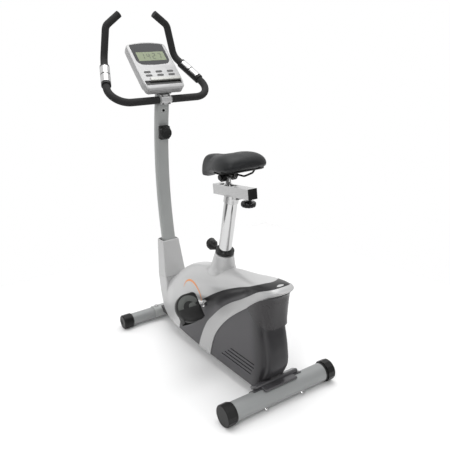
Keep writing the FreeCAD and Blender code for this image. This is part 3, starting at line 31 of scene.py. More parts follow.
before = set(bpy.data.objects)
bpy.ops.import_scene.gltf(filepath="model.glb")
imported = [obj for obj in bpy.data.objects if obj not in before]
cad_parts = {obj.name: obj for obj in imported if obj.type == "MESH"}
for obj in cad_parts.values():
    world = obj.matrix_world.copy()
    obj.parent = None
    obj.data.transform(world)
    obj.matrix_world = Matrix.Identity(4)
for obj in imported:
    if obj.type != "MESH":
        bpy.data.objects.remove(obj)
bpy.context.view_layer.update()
bpy.ops.object.select_all(action="DESELECT")

MM = 0.001
tube_low, tube_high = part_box("rear_stabilizer")
REAR = (tube_low[0] + tube_high[0]) / 2
RAIL_TILT = math.radians(4.1)
SEAT_LEAN = math.radians(14.9)
LOCK_AXIS = Vector((0.966, 0, 0.257)).normalized()
DIAL_AXIS = Vector((-0.987, 0, -0.163)).normalized()


def at(ahead, side, height):
    """Place given in millimetres ahead of the rear cross tube, to the left, and above the floor."""
    return Vector((REAR + ahead * MM, side * MM, height * MM))


# ---------------------------------------------------------------- camera, light and floor

CAMERA_PLACE = (-1381.8, 1106.4, 1238.4)
CAMERA_YAW, CAMERA_PITCH, CAMERA_ROLL = -33.15, -17.28, -2.53
CAMERA_LENS, SENSOR_WIDTH = 44.19, 36
FLOOR_SIZE, FLOOR_DROP = 2.7, 0.0006
FLOOR_WHITE = 0.94


def make_camera():
    """Camera behind and to the left of the bike, at head height."""
    yaw, pitch, roll = (math.radians(angle) for angle in (CAMERA_YAW, CAMERA_PITCH, CAMERA_ROLL))
    view = Vector((math.cos(pitch) * math.cos(yaw), math.cos(pitch) * math.sin(yaw), math.sin(pitch)))
    camera_data = bpy.data.cameras.new("camera")
    camera_data.sensor_width = SENSOR_WIDTH
    camera_data.lens = CAMERA_LENS
    camera = bpy.data.objects.new("camera", camera_data)
    camera.location = at(*CAMERA_PLACE)
    camera.rotation_mode = "QUATERNION"
    camera.rotation_quaternion = view.to_track_quat("-Z", "Y") @ Quaternion((0, 0, 1), roll)
    bpy.context.collection.objects.link(camera)
    bpy.context.scene.camera = camera


def make_light(name, place, target, size, power):
    """Rectangular soft light that faces its target."""
    data = bpy.data.lights.new(name, "AREA")
    data.shape = "RECTANGLE"
    data.size = size[0]
    data.size_y = size[1]
    data.energy = power
    lamp = bpy.data.objects.new(name, data)
    lamp.location = place
    lamp.rotation_mode = "QUATERNION"
    lamp.rotation_quaternion = (Vector(target) - Vector(place)).to_track_quat("-Z", "Y")
    bpy.context.collection.objects.link(lamp)


def make_backdrop():
    """White backdrop behind the bike that falls off to a dim room behind the camera."""
    world = bpy.data.worlds.new("studio")
    bpy.context.scene.world = world
    world.use_nodes = True
    nodes, link = world.node_tree.nodes, world.node_tree.links.new
    place = nodes.new("ShaderNodeTexCoord")
    facing = nodes.new("ShaderNodeVectorMath")
    facing.operation = "DOT_PRODUCT"
    facing.inputs[1].default_value = (0.80, -0.55, 0.25)
    blend = nodes.new("ShaderNodeMapRange")
    blend.interpolation_type = "SMOOTHSTEP"
    blend.inputs["From Min"].default_value = -0.25
    blend.inputs["From Max"].default_value = 0.45
    blend.inputs["To Min"].default_value = 0.16
    blend.inputs["To Max"].default_value = 1.0
    link(place.outputs["Generated"], facing.inputs[0])
    link(facing.outputs["Value"], blend.inputs["Value"])
    link(blend.outputs["Result"], nodes["Background"].inputs["Strength"])
    nodes["Background"].inputs["Color"].default_value = (1, 1, 1, 1)


def make_studio():
    """Four soft lights, the backdrop and the pale floor."""
    make_light("key", (-2.4, 3.0, 3.0), (0, 0, 0.6), (1.6, 1.6), 70)
    make_light("side", (0.8, 3.6, 1.6), (0, 0, 0.6), (1.2, 2.0), 14)
    make_light("rear", (-3.6, -0.6, 1.5), (0, 0, 0.5), (1.4, 1.8), 22)
    make_light("top", (0.2, -0.2, 3.8), (0, 0, 0.5), (2.6, 2.6), 70)
    make_backdrop()
    bpy.ops.mesh.primitive_plane_add(size=FLOOR_SIZE, location=(0, 0, -FLOOR_DROP))
    floor = bpy.context.object
    floor.name = "floor"
    paper = bpy.data.materials.new("pale floor")
    paper.use_nodes = True
    shader = paper.node_tree.nodes["Principled BSDF"]
    shader.inputs["Base Color"].default_value = (FLOOR_WHITE, FLOOR_WHITE, FLOOR_WHITE, 1)
    shader.inputs["Roughness"].default_value = 0.9
    floor.data.materials.append(paper)
    floor.select_set(False)
    bpy.context.scene.view_settings.view_transform = "Standard"


# ---------------------------------------------------------------- materials

def new_group(name, inputs, outputs):
    """Empty shader group with named inputs, each with its value, and named outputs."""
    group = bpy.data.node_groups.new(name, "ShaderNodeTree")
    for label, kind, value in inputs:
        socket = group.interface.new_socket(name=label, in_out="INPUT", socket_type=kind)
        socket.default_value = value
    for label, kind in outputs:
        group.interface.new_socket(name=label, in_out="OUTPUT", socket_type=kind)
    return group


def build_finish_group():
    """Fine grain and slow cloudy variation, as a tone, a roughness and a normal."""
    group = new_group("moulded finish",
                      [("Grain Scale", "NodeSocketFloat", 900.0), ("Grain Depth", "NodeSocketFloat", 0.2),
                       ("Tone Spread", "NodeSocketFloat", 0.08), ("Roughness", "NodeSocketFloat", 0.4),
                       ("Rough Spread", "NodeSocketFloat", 0.08)],
                      [("Tone", "NodeSocketFloat"), ("Rough", "NodeSocketFloat"),
                       ("Normal", "NodeSocketVector")])
    nodes, link = group.nodes, group.links.new
    given = nodes.new("NodeGroupInput")
    result = nodes.new("NodeGroupOutput")
    place = nodes.new("ShaderNodeTexCoord")
    grain = nodes.new("ShaderNodeTexNoise")
    grain.inputs["Detail"].default_value = 3
    cloud = nodes.new("ShaderNodeTexNoise")
    cloud.inputs["Scale"].default_value = 7
    cloud.inputs["Detail"].default_value = 6
    bump = nodes.new("ShaderNodeBump")
    bump.inputs["Distance"].default_value = 0.0004
    link(place.outputs["Object"], grain.inputs["Vector"])
    link(place.outputs["Object"], cloud.inputs["Vector"])
    link(given.outputs["Grain Scale"], grain.inputs["Scale"])
    link(grain.outputs["Fac"], bump.inputs["Height"])
    link(given.outputs["Grain Depth"], bump.inputs["Strength"])
    for spread, base, label in (("Tone Spread", None, "Tone"), ("Rough Spread", "Roughness", "Rough")):
        centred = nodes.new("ShaderNodeMath")
        centred.operation = "SUBTRACT"
        centred.inputs[1].default_value = 0.5
        scaled = nodes.new("ShaderNodeMath")
        scaled.operation = "MULTIPLY"
        shifted = nodes.new("ShaderNodeMath")
        shifted.operation = "ADD"
        shifted.inputs[1].default_value = 0.5
        shifted.use_clamp = True
        link(cloud.outputs["Fac"], centred.inputs[0])
        link(centred.outputs[0], scaled.inputs[0])
        link(given.outputs[spread], scaled.inputs[1])
        link(scaled.outputs[0], shifted.inputs[0])
        if base:
            link(given.outputs[base], shifted.inputs[1])
        link(shifted.outputs[0], result.inputs[label])
    link(bump.outputs["Normal"], result.inputs["Normal"])
    return group


finish_group = build_finish_group()


def finish(name, dark, light, roughness, metallic=0.0, grain=(900, 0.15), spread=(1.2, 0.25), coat=0.0,
           coat_roughness=0.2, specular=0.5):
    """Material with the shared finish group: its colour moves between a darker and a lighter tone."""
    material = bpy.data.materials.new(name)
    material.use_nodes = True
    nodes, link = material.node_tree.nodes, material.node_tree.links.new
    shader = nodes["Principled BSDF"]
    shader.inputs["Metallic"].default_value = metallic
    shader.inputs["Coat Weight"].default_value = coat
    shader.inputs["Coat Roughness"].default_value = coat_roughness
    shader.inputs["Specular IOR Level"].default_value = specular
    effect = nodes.new("ShaderNodeGroup")
    effect.node_tree = finish_group
    effect.inputs["Grain Scale"].default_value = grain[0]
    effect.inputs["Grain Depth"].default_value = grain[1]
    effect.inputs["Tone Spread"].default_value = spread[0]
    effect.inputs["Roughness"].default_value = roughness
    effect.inputs["Rough Spread"].default_value = spread[1]
    tones = nodes.new("ShaderNodeMix")
    tones.data_type = "RGBA"
    tones.inputs["A"].default_value = (*dark, 1)
    tones.inputs["B"].default_value = (*light, 1)
    link(effect.outputs["Tone"], tones.inputs["Factor"])
    link(tones.outputs["Result"], shader.inputs["Base Color"])
    link(effect.outputs["Rough"], shader.inputs["Roughness"])
    link(effect.outputs["Normal"], shader.inputs["Normal"])
    return material


def painted_shade_towards(material, direction, start, end, least):
    """Paints shade into a material's colour: darkens it along a direction, from start to end, down to a
    least share.
    """
    nodes, link = material.node_tree.nodes, material.node_tree.links.new
    shader = nodes["Principled BSDF"]
    colour = shader.inputs["Base Color"].links[0].from_socket
    place = nodes.new("ShaderNodeTexCoord")
    along = nodes.new("ShaderNodeVectorMath")
    along.operation = "DOT_PRODUCT"
    along.inputs[1].default_value = direction
    fade = nodes.new("ShaderNodeMapRange")
    fade.interpolation_type = "SMOOTHSTEP"
    fade.inputs["From Min"].default_value = start
    fade.inputs["From Max"].default_value = end
    fade.inputs["To Min"].default_value = 1.0
    fade.inputs["To Max"].default_value = least
    painted_shade = nodes.new("ShaderNodeMix")
    painted_shade.data_type = "RGBA"
    # near-black colour of the painted shade
    painted_shade.inputs["A"].default_value = (0.002, 0.002, 0.002, 1)
    link(place.outputs["Object"], along.inputs[0])
    link(along.outputs["Value"], fade.inputs["Value"])
    link(fade.outputs["Result"], painted_shade.inputs["Factor"])
    link(colour, painted_shade.inputs["B"])
    link(painted_shade.outputs["Result"], shader.inputs["Base Color"])


def grey(value):
    return (value, value, value)


SILVER = finish("satin silver plastic", grey(0.50), grey(0.56), 0.36, metallic=0.25, grain=(2600, 0.05),
                coat=0.25)
BAND = finish("band silver", grey(0.44), grey(0.50), 0.42, metallic=0.35, grain=(1800, 0.18))
DARK = finish("dark grey plastic with painted shade", (0.060, 0.058, 0.063), (0.072, 0.070, 0.075), 0.34, grain=(1500, 0.10),
              specular=0.3)
# Painted shade on the dark panels: darker near their upper edge, where the scoop is, and darker towards the
# tail, in place of the dim reflections in the glossy plastic.
painted_shade_towards(DARK, (0.465, 0, 0.885), 0.385 + 0.465 * REAR, 0.425 + 0.465 * REAR, 0.30)
painted_shade_towards(DARK, (-1, 0, 0), -0.10 - REAR, -0.03 - REAR, 0.45)
LOBE = finish("smoky black plastic", (0.014, 0.012, 0.014), (0.019, 0.017, 0.019), 0.26, grain=(1500, 0.08))
POST = finish("post powder coat", (0.355, 0.365, 0.360), (0.385, 0.395, 0.390), 0.44, metallic=0.2,
              grain=(1300, 0.2))
TUBE = finish("tube powder coat", (0.275, 0.283, 0.283), (0.305, 0.313, 0.313), 0.42, metallic=0.2,
              grain=(1300, 0.2))
BLACK = finish("black plastic", grey(0.006), grey(0.010), 0.42, grain=(1600, 0.2), specular=0.28)
GLOSS_BLACK = finish("glossy black plastic", grey(0.005), grey(0.008), 0.28, grain=(1600, 0.03),
                     specular=0.35)
PLATE = finish("dark grey gloss coat", (0.050, 0.049, 0.053), (0.065, 0.063, 0.068), 0.30, metallic=0.1,
               grain=(900, 0.05), coat=0.3)
FRAME_PAINT = finish("frame paint", grey(0.04), grey(0.06), 0.4, grain=(1000, 0.15))
CHROME = finish("polished chrome", grey(0.56), grey(0.60), 0.07, metallic=1.0, grain=(300, 0.01),
                spread=(0.6, 0.04))
STEEL = finish("satin steel", grey(0.52), grey(0.62), 0.28, metallic=1.0, grain=(1200, 0.08))
IRON = finish("machined iron", grey(0.20), grey(0.30), 0.38, metallic=1.0, grain=(700, 0.2))
RUBBER = finish("belt rubber", grey(0.012), grey(0.02), 0.75, grain=(900, 0.4))
FOAM = finish("bar foam", grey(0.013), grey(0.024), 0.80, grain=(700, 0.55), specular=0.35)
VINYL = finish("saddle vinyl", (0.013, 0.014, 0.015), (0.018, 0.019, 0.020), 0.50, grain=(520, 0.35),
               specular=0.28)
PEDAL_PAD = finish("grey pedal pad", (0.085, 0.090, 0.085), (0.110, 0.116, 0.110), 0.70, grain=(420, 0.8))
PEDAL_BODY = finish("pedal plastic", grey(0.009), grey(0.014), 0.45, grain=(900, 0.25))
STRAP = finish("strap rubber", grey(0.010), grey(0.016), 0.55, grain=(500, 0.3))
CONSOLE = finish("console silver", grey(0.40), grey(0.44), 0.34, metallic=0.1, grain=(2600, 0.04), coat=0.1)
WINDOW = finish("smoked window", (0.006, 0.007, 0.009), (0.009, 0.010, 0.012), 0.2, grain=(400, 0.0),
                specular=0.2, coat_roughness=0.05)
DISPLAY = finish("display glass", (0.165, 0.200, 0.110), (0.185, 0.225, 0.120), 0.35, grain=(400, 0.0))
DIGIT = finish("display digits", grey(0.012), grey(0.016), 0.4, grain=(400, 0.0))
ORANGE = finish("orange accent", (0.78, 0.30, 0.10), (0.84, 0.34, 0.12), 0.38, grain=(1500, 0.05))
RAIL = finish("brushed rail chrome", grey(0.55), grey(0.62), 0.24, metallic=0.85, grain=(1200, 0.05))
KEY = finish("rubber keys", grey(0.07), grey(0.10), 0.6, grain=(900, 0.2))
BAR_GREY = finish("ledge bar grey", (0.40, 0.40, 0.38), (0.44, 0.44, 0.42), 0.4, metallic=0.3)

NODE_FINISH = {
    "main_frame": FRAME_PAINT, "rear_stabilizer": TUBE, "front_stabilizer": TUBE,
    "rear_saddle_plate": PLATE,
    "front_saddle_plate": POST, "fasteners": CHROME, "roller_plugs": BLACK, "handlebar_post": POST,
    "seat_post_bush": BLACK, "tension_dial_base": BLACK, "tension_cable": BLACK, "console_bracket": STEEL,
    "console_back": CONSOLE, "handlebar_clamp": SILVER, "crank_bearings": STEEL, "flywheel_axle": STEEL,
    "belt": RUBBER, "rear_cap_left": BLACK, "rear_cap_right": BLACK, "front_roller_left": BLACK,
    "front_roller_right": BLACK, "crank_axle": STEEL, "crank_pulley": BLACK, "crank_arms": CHROME,
    "pedal_spindles": STEEL, "flywheel": IRON, "magnet_arm": STEEL, "tension_knob": BLACK,
    "handlebar_tube": TUBE, "foam_grips": FOAM, "pulse_sensors": BLACK, "seat_post": CHROME,
    "seat_rail": RAIL,
    "seat_lock_knob": BLACK, "rail_knob": BLACK, "slider_carriage": CHROME, "saddle_clamp": BLACK,
    "saddle_rails": BLACK, "saddle_pan": BLACK, "lcd_panel": DISPLAY, "console_window": WINDOW,
    "console_front": CONSOLE, "saddle_pad": VINYL, "housing_left": SILVER, "housing_right": SILVER,
    "side_panel_left": DARK, "side_panel_right": DARK, "side_bands": BAND, "tail_cover": LOBE,
    "post_shroud": SILVER, "pedal_left": PEDAL_BODY, "pedal_right": PEDAL_BODY, "pedal_strap_left": STRAP,
    "pedal_strap_right": STRAP,
}
for number in range(1, 7):
    NODE_FINISH["console_button_%d" % number] = KEY
for node_name, node_material in NODE_FINISH.items():
    node_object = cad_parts[node_name]
    node_object.data.materials.clear()
    node_object.data.materials.append(node_material)


# ---------------------------------------------------------------- modelling helpers

def pick(piece):
    """Makes one piece the only selected and active object."""
    bpy.ops.object.select_all(action="DESELECT")
    piece.select_set(True)
    bpy.context.view_layer.objects.active = piece


def modify(piece, kind, **settings):
    """Adds a modifier with its settings and applies it."""
    pick(piece)
    modifier = piece.modifiers.new(kind.lower(), kind)
    for setting, value in settings.items():
        setattr(modifier, setting, value)
    bpy.ops.object.modifier_apply(modifier=modifier.name)


def outward(piece):
    """Closes doubles and turns every face outwards."""
    pick(piece)
    bpy.ops.object.mode_set(mode="EDIT")
    bpy.ops.mesh.select_all(action="SELECT")
    bpy.ops.mesh.remove_doubles(threshold=0.00001)
    bpy.ops.mesh.normals_make_consistent(inside=False)
    bpy.ops.object.mode_set(mode="OBJECT")


def settle(piece, name, material, body, replaces=(), angle=35):
    """Names a finished piece, puts its place in its mesh and joins it to its body."""
    piece.name = name
    piece.data.name = name
    pick(piece)
    bpy.ops.object.transform_apply(location=True, rotation=True, scale=True)
    piece.data.materials.clear()
    piece.data.materials.append(material)
    bpy.ops.object.shade_smooth_by_angle(angle=math.radians(angle))
    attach(piece, body)
    if replaces:
        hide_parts(*replaces)
    piece.select_set(False)
    return piece


def sheet(columns, rows, place):
    """Grid whose points are laid out by a function of two shares, each from 0 to 1."""
    bpy.ops.mesh.primitive_grid_add(x_subdivisions=columns, y_subdivisions=rows, size=1)
    piece = bpy.context.object
    for vertex in piece.data.vertices:
        vertex.co = place(vertex.co.x + 0.5, vertex.co.y + 0.5)
    return piece


def wrapped(columns, rows, place):
    """Closed sleeve: a sheet whose first and last columns meet."""
    piece = sheet(columns, rows, place)
    outward(piece)
    return piece


def prism(outline, push):
    """Flat outline, as a list of points, extruded along a vector."""
    bpy.ops.mesh.primitive_circle_add(vertices=len(outline), fill_type="NGON")
    piece = bpy.context.object
    for vertex, point in zip(piece.data.vertices, outline):
        vertex.co = point
    bpy.ops.object.mode_set(mode="EDIT")
    bpy.ops.mesh.select_all(action="SELECT")
    bpy.ops.mesh.extrude_region_move(TRANSFORM_OT_translate={"value": push})
    bpy.ops.object.mode_set(mode="OBJECT")
    outward(piece)
    return piece


def side_prism(outline, near, far):
    """Side-view outline in millimetres, pushed across the bike."""
    return prism([at(ahead, near, height) for ahead, height in outline], (0, (far - near) * MM, 0))


def combine(piece, tool, operation):
    """Boolean of a piece with a tool, which is used up."""
    modify(piece, "BOOLEAN", object=tool, operation=operation, solver="EXACT")
    bpy.data.objects.remove(tool, do_unlink=True)


def copy_of(piece):
    """Copy of a piece with a mesh of its own."""
    twin = piece.copy()
    twin.data = piece.data.copy()
    bpy.context.collection.objects.link(twin)
    return twin


def mirrored(piece):
    """Right-hand twin of a left-hand piece."""
    twin = copy_of(piece)
    for vertex in twin.data.vertices:
        vertex.co.y = -vertex.co.y
    pick(twin)
    bpy.ops.object.mode_set(mode="EDIT")
    bpy.ops.mesh.select_all(action="SELECT")
    bpy.ops.mesh.flip_normals()
    bpy.ops.object.mode_set(mode="OBJECT")
    return twin


def mix(first, second, share):
    """Value that is a share of the way from the first to the second."""
    return first + (second - first) * share


def ease(value, start, end):
    """Smooth step from 0 at the start to 1 at the end."""
    share = min(max((value - start) / (end - start), 0.0), 1.0)
    return share * share * (3 - 2 * share)


def follow(points):
    """Smooth function through (place, value) pairs."""
    places = [point[0] for point in points]
    values = [point[1] for point in points]
    count = len(points)
    slopes = []
    for index in range(count):
        before, after = max(index - 1, 0), min(index + 1, count - 1)
        slopes.append((values[after] - values[before]) / (places[after] - places[before]))

    def value_at(place):
        if place <= places[0]:
            return values[0]
        if place >= places[-1]:
            return values[-1]
        index = max(i for i in range(count - 1) if places[i] <= place)
        gap = places[index + 1] - places[index]
        share = (place - places[index]) / gap
        square, cube = share ** 2, share ** 3
        return ((2 * cube - 3 * square + 1) * values[index]
                + (cube - 2 * square + share) * gap * slopes[index]
                + (3 * square - 2 * cube) * values[index + 1] + (cube - square) * gap * slopes[index + 1])

    return value_at


# ---------------------------------------------------------------- covers

COVER_HALF = 62
FRONT_END = 758
crest = follow([(-50, 457), (-40, 466), (-15, 471), (94, 462), (150, 455), (240, 445), (315, 433),
                (400, 423), (460, 412), (520, 395), (580, 370), (640, 333), (700, 290), (740, 262),
                (760, 248)])
shoulder_drop = follow([(-50, 8), (0, 14), (90, 26), (242, 66), (330, 80), (420, 92), (560, 110),
                        (700, 110), (760, 96)])
sill = follow([(0, 46), (340, 46), (540, 52), (700, 66), (760, 72)])
rear_edge = follow([(46, 58), (60, 40), (104, 8), (151, -16), (210, -16), (260, -8), (300, 0), (350, -3),
                    (400, -12), (432, -22), (446, -42), (458, -51), (470, -52)])
dark_upper = follow([(-60, 462), (18, 470), (90, 444), (160, 417), (242, 380), (330, 331), (410, 281)])
band_upper = follow([(-40, 470), (23, 447), (80, 412), (136, 378), (200, 342), (264, 298), (330, 240),
                     (384, 185), (430, 110), (455, 57), (460, 40)])
band_lower = follow([(-30, 436), (0, 424), (34, 406), (109, 351), (170, 308), (226, 263), (285, 205),
                     (330, 145), (355, 90), (369, 47), (371, 40)])


def side_width(ahead, height):
    """Half width of the covers below their shoulder, with the scoop between the dark edge and the band."""
    width = COVER_HALF - 8 * ease(ahead, 660, 752)
    if 60 < ahead < 412:
        low_edge, high_edge = band_upper(ahead), dark_upper(ahead)
        share = (height - low_edge) / (high_edge - low_edge)
        if 0 < share < 1:
            fade = ease(ahead, 60, 150) * (1 - ease(ahead, 330, 412))
            width -= 9 * fade * math.sin(math.pi * share) ** 1.3
    return width


DOME_POWER = 2.3


def surface_width(ahead, height):
    """Half width of the covers' skin anywhere along their straight sides."""
    base = crest(ahead) - shoulder_drop(ahead)
    width = side_width(ahead, height)
    if height <= base:
        return width
    rise = min((height - base) / (crest(ahead) - base), 1)
    return width * (1 - rise ** DOME_POWER) ** (1 / DOME_POWER)


def skin_point(along, up, proud):
    """Point of the left cover skin: along from the rear seam forward, up from the sill to the crest."""
    wall_share = 0.66
    turn = 0.30
    reach = 82
    tail_power = 3.1
    if along < turn:
        angle = along / turn * math.pi / 2
        forward = 1 - math.cos(angle) ** (2 / tail_power)
        out = math.sin(angle) ** (2 / tail_power)
        nominal = reach * forward
    else:
        share = (along - turn) / (1 - turn)
        forward, out = 1, 1
        nominal = reach + (FRONT_END - reach) * share
    base = sill(nominal)
    shoulder = crest(max(nominal, 10)) - shoulder_drop(max(nominal, 10))
    wall_up = min(up / wall_share, 1)
    height = mix(base, shoulder, wall_up)
    start = rear_edge(height)
    if along < turn:
        ahead = start + (reach - start) * forward
    else:
        ahead = nominal
    width = side_width(ahead, height) * out
    if along < turn:
        pinch = math.exp(-((angle - 0.86) / 0.17) ** 2)
        pinch = pinch * ease(height, 60, 120) * (1 - ease(height, 290, 370))
        width -= 5.0 * pinch
        ahead += 7.0 * pinch
        start -= proud
        ahead -= proud * (1 - forward)
    width += proud * out
    if up > wall_share:
        lift = (up - wall_share) / (1 - wall_share) * math.pi / 2
        spine = max(ahead, mix(24, reach, min(forward * 1.2, 1)))
        rise = math.sin(lift) ** (2 / DOME_POWER)
        inwards = math.cos(lift) ** (2 / DOME_POWER)
        ahead = mix(spine, ahead, inwards)
        width *= inwards
        height = mix(shoulder, crest(ahead) + proud, rise)
    return at(ahead, max(width, 0), height)


def cover_skin(proud, thick):
    """Left half of the covers' skin, a given distance proud of the housing."""
    piece = sheet(170, 110, lambda along, up: skin_point(along, up, proud))
    outward(piece)
    modify(piece, "SOLIDIFY", thickness=thick * MM, offset=-1)
    return piece


def edge_points(edge, start, end, count):
    """Points along one of the covers' edges, evenly spaced from start to end."""
    places = [mix(start, end, index / count) for index in range(count + 1)]
    return [(place, edge(place)) for place in places]


def dark_outline():
    """Side view of the dark lower panel."""
    upper = edge_points(dark_upper, -60, 410, 30)
    front = [(440, 264), (480, 244), (520, 226), (560, 198), (590, 160), (615, 110), (632, 60), (640, 20)]
    return upper + front + [(-120, 20), (-120, 462)]


def band_outline():
    """Side view of the raised band that sweeps from the tail down to the sill."""
    upper = edge_points(band_upper, -40, 460, 40)
    lower = edge_points(band_lower, -30, 371, 40)
    lower.reverse()
    return upper + [(462, 20), (373, 20)] + lower + [(-70, 430), (-70, 474)]


LOBE_EDGE = [(80, 364), (74, 354), (66, 345), (54, 334), (40, 323), (24, 313), (8, 305), (-10, 300),
             (-80, 294)]
VENT_ROWS = ((65, 215), (68, 236), (79, 258), (87, 281))
VENT_TOP, VENT_PITCH, VENT_HALF = 142, 16.5, 2.3
PANEL_THICK = 2.6


def vent_cutter(rear, front, height):
    """Slot with pointed ends, cut through the side of the panel."""
    low, high = height - VENT_HALF, height + VENT_HALF
    return side_prism([(rear, low), (front, low), (front + 2, height), (front, high), (rear, high),
                       (rear - 2, height)], 40, 80)


def make_covers():
    """Silver upper shells, dark panels with their vents, raised bands and tail lobes."""
    skin = cover_skin(0, PANEL_THICK)
    dark_zone = side_prism(dark_outline(), -5, 90)
    upper = copy_of(skin)
    combine(upper, copy_of(dark_zone), "DIFFERENCE")
    panel = skin
    combine(panel, dark_zone, "INTERSECT")
    for index, (rear, front) in enumerate(VENT_ROWS):
        combine(panel, vent_cutter(rear, front, VENT_TOP - VENT_PITCH * index), "DIFFERENCE")
    band = cover_skin(3.0, 3.4)
    combine(band, side_prism(band_outline(), -5, 90), "INTERSECT")
    lobe = cover_skin(7.0, 8)
    lobe_upper = edge_points(band_lower, -30, 84, 12)
    combine(lobe, side_prism([(-80, 450)] + lobe_upper + LOBE_EDGE, -5, 90), "INTERSECT")
    for side, turn in (("left", copy_of), ("right", mirrored)):
        settle(turn(upper), "cover_upper_" + side, SILVER, "frame", ["housing_" + side])
        settle(turn(panel), "cover_panel_" + side, DARK, "frame", ["side_panel_" + side])
        settle(turn(band), "cover_band_" + side, BAND, "frame", ["side_bands"])
        settle(turn(lobe), "tail_lobe_" + side, LOBE, "frame", ["tail_cover"])
    for piece in (upper, panel, band, lobe):
        bpy.data.objects.remove(piece, do_unlink=True)


def section_loop(share, rear, front, half, rear_round, front_round):
    """Point on a rounded rectangle seen from above, by its share of the way round from the rear middle."""
    corners = [(rear, half, rear_round), (front, half, front_round), (front, -half, front_round),
               (rear, -half, rear_round)]
    turns = [(-1, 1), (1, 1), (1, -1), (-1, -1)]
    step = share * 4
    index = min(int(step), 3)
    local = step - index
    ahead, side, radius = corners[index]
    out_x, out_y = turns[index]
    centre = (ahead - out_x * radius, side - out_y * radius)
    starts = [math.pi, math.pi / 2, 0, -math.pi / 2]
    if local < 0.2 or local > 0.8:
        near = local < 0.2
        stretch = local / 0.2 if near else (local - 0.8) / 0.2
        angle = starts[index] if near else starts[index] - math.pi / 2
        arc = (centre[0] + radius * math.cos(angle), centre[1] + radius * math.sin(angle))
        halfway = (rear + front) / 2
        middles = [(rear, 0), (halfway, half), (front, 0), (halfway, -half), (rear, 0)]
        middle = middles[index] if near else middles[index + 1]
        first, second = (middle, arc) if near else (arc, middle)
        return mix(first[0], second[0], stretch), mix(first[1], second[1], stretch)
    angle = starts[index] - (local - 0.2) / 0.6 * math.pi / 2
    return centre[0] + radius * math.cos(angle), centre[1] + radius * math.sin(angle)


SLEEVE_TOP, RIM_START = 427, 0.86


def make_column():
    """Front column of the covers, from the sill up to the sleeve's seam."""
    front = follow([(64, 786), (90, 803), (125, 814), (190, 823), (264, 829)])
    half = follow([(64, 46), (100, 50), (180, 53), (264, 54)])

    def place(around, up):
        height = mix(64, 263.4, up)
        ahead, side = section_loop(around, 746, front(height), half(height), 6, 18)
        return at(ahead, side, height)

    piece = wrapped(112, 40, place)
    modify(piece, "SOLIDIFY", thickness=2.4 * MM, offset=-1)
    settle(piece, "front_column", SILVER, "frame")


def make_shroud():
    """Tapered sleeve round the foot of the post, with a rolled rim."""
    def place(around, up):
        if up < RIM_START:
            share = up / RIM_START
            height = mix(264.6, SLEEVE_TOP, share)
            inset = 0
        else:
            angle = (up - RIM_START) / 0.14 * math.pi
            share = 1
            height = SLEEVE_TOP + 4 * math.sin(min(angle, math.pi / 2)) - max(angle - math.pi / 2, 0) * 8
            inset = 4 * (1 - math.cos(min(angle, math.pi / 2)))
        ahead, side = section_loop(around, mix(746, 770, share) + inset, mix(829, 836, share) - inset,
                                   mix(54, 41, share) - inset, 5, 16)
        return at(ahead, side, height)

    piece = wrapped(112, 50, place)
    modify(piece, "SOLIDIFY", thickness=1.8 * MM, offset=-1)
    settle(piece, "post_sleeve", SILVER, "frame", ["post_shroud"])


def make_neck():
    """Flared neck of the covers round the seat tube."""
    radius_at = follow([(0, 78), (0.12, 60), (0.3, 50), (0.6, 43.5), (0.9, 38.5), (1, 37.5)])

    def place(around, up):
        angle = around * math.tau
        height = mix(404, 493, min(up / 0.9, 1))
        radius = radius_at(min(up / 0.9, 1))
        if up > 0.9:
            radius -= (up - 0.9) / 0.1 * 8
        centre = 316 + (520 - height) * math.tan(SEAT_LEAN)
        stretch = 1 + 0.25 * (1 - ease(up, 0, 0.5)) * (1 if math.cos(angle) > 0 else 0.6)
        forward = radius * math.cos(angle) * stretch
        side = min(radius, 52) * math.sin(angle)
        return at(centre + forward, side, height + forward * math.sin(SEAT_LEAN) * ease(up, 0.1, 0.9))

    piece = wrapped(72, 36, place)
    modify(piece, "SOLIDIFY", thickness=2.4 * MM, offset=-1)
    settle(piece, "cover_neck", SILVER, "frame")


def make_accent():
    """Orange arc above the crank, laid on the cover's side, and a black block behind the vents that stands
    in for the shade inside the housing.
    """
    def place(along, across):
        angle = math.radians(mix(170, 20, along))
        width = 1.5 + 8.5 * math.sin(math.pi * (0.12 + 0.88 * along)) ** 1.3
        radius = 76 + (across - 0.5) * width
        ahead = 492 + radius * math.cos(angle)
        height = 258 + radius * math.sin(angle)
        return at(ahead, surface_width(ahead, height) + 0.5, height)

    strip = sheet(60, 3, place)
    outward(strip)
    modify(strip, "SOLIDIFY", thickness=0.7 * MM, offset=-1)
    twin = mirrored(strip)
    # black block inside the housing behind the vents, standing in for its shade
    vents = rounded_block(at(172, 0, 117), (250, 113, 66), 2)
    settle(vents, "vent_shade_block", BLACK, "frame")
    settle(strip, "accent_left", ORANGE, "frame")
    settle(twin, "accent_right", ORANGE, "frame")


# ---------------------------------------------------------------- saddle

SADDLE_REAR, SADDLE_LENGTH = 128, 296
plan_half = follow([(0, 58), (0.04, 80), (0.12, 94), (0.26, 97), (0.42, 88), (0.58, 72), (0.74, 56),
                    (0.88, 43), (0.96, 34), (1, 26)])
top_height = follow([(0, 880), (0.06, 895), (0.16, 903), (0.32, 900), (0.5, 889), (0.68, 880), (0.82, 877),
                     (0.92, 870), (1, 850)])
edge_height = follow([(0, 858), (0.1, 850), (0.3, 845), (0.5, 838), (0.7, 824), (0.85, 806),
                      (0.95, 793), (1, 790)])
PAD_SHRINK, PAD_CAP, PAD_VOXEL = 2.5, 0.004, 0.005
CLOTH_STEPS = 20


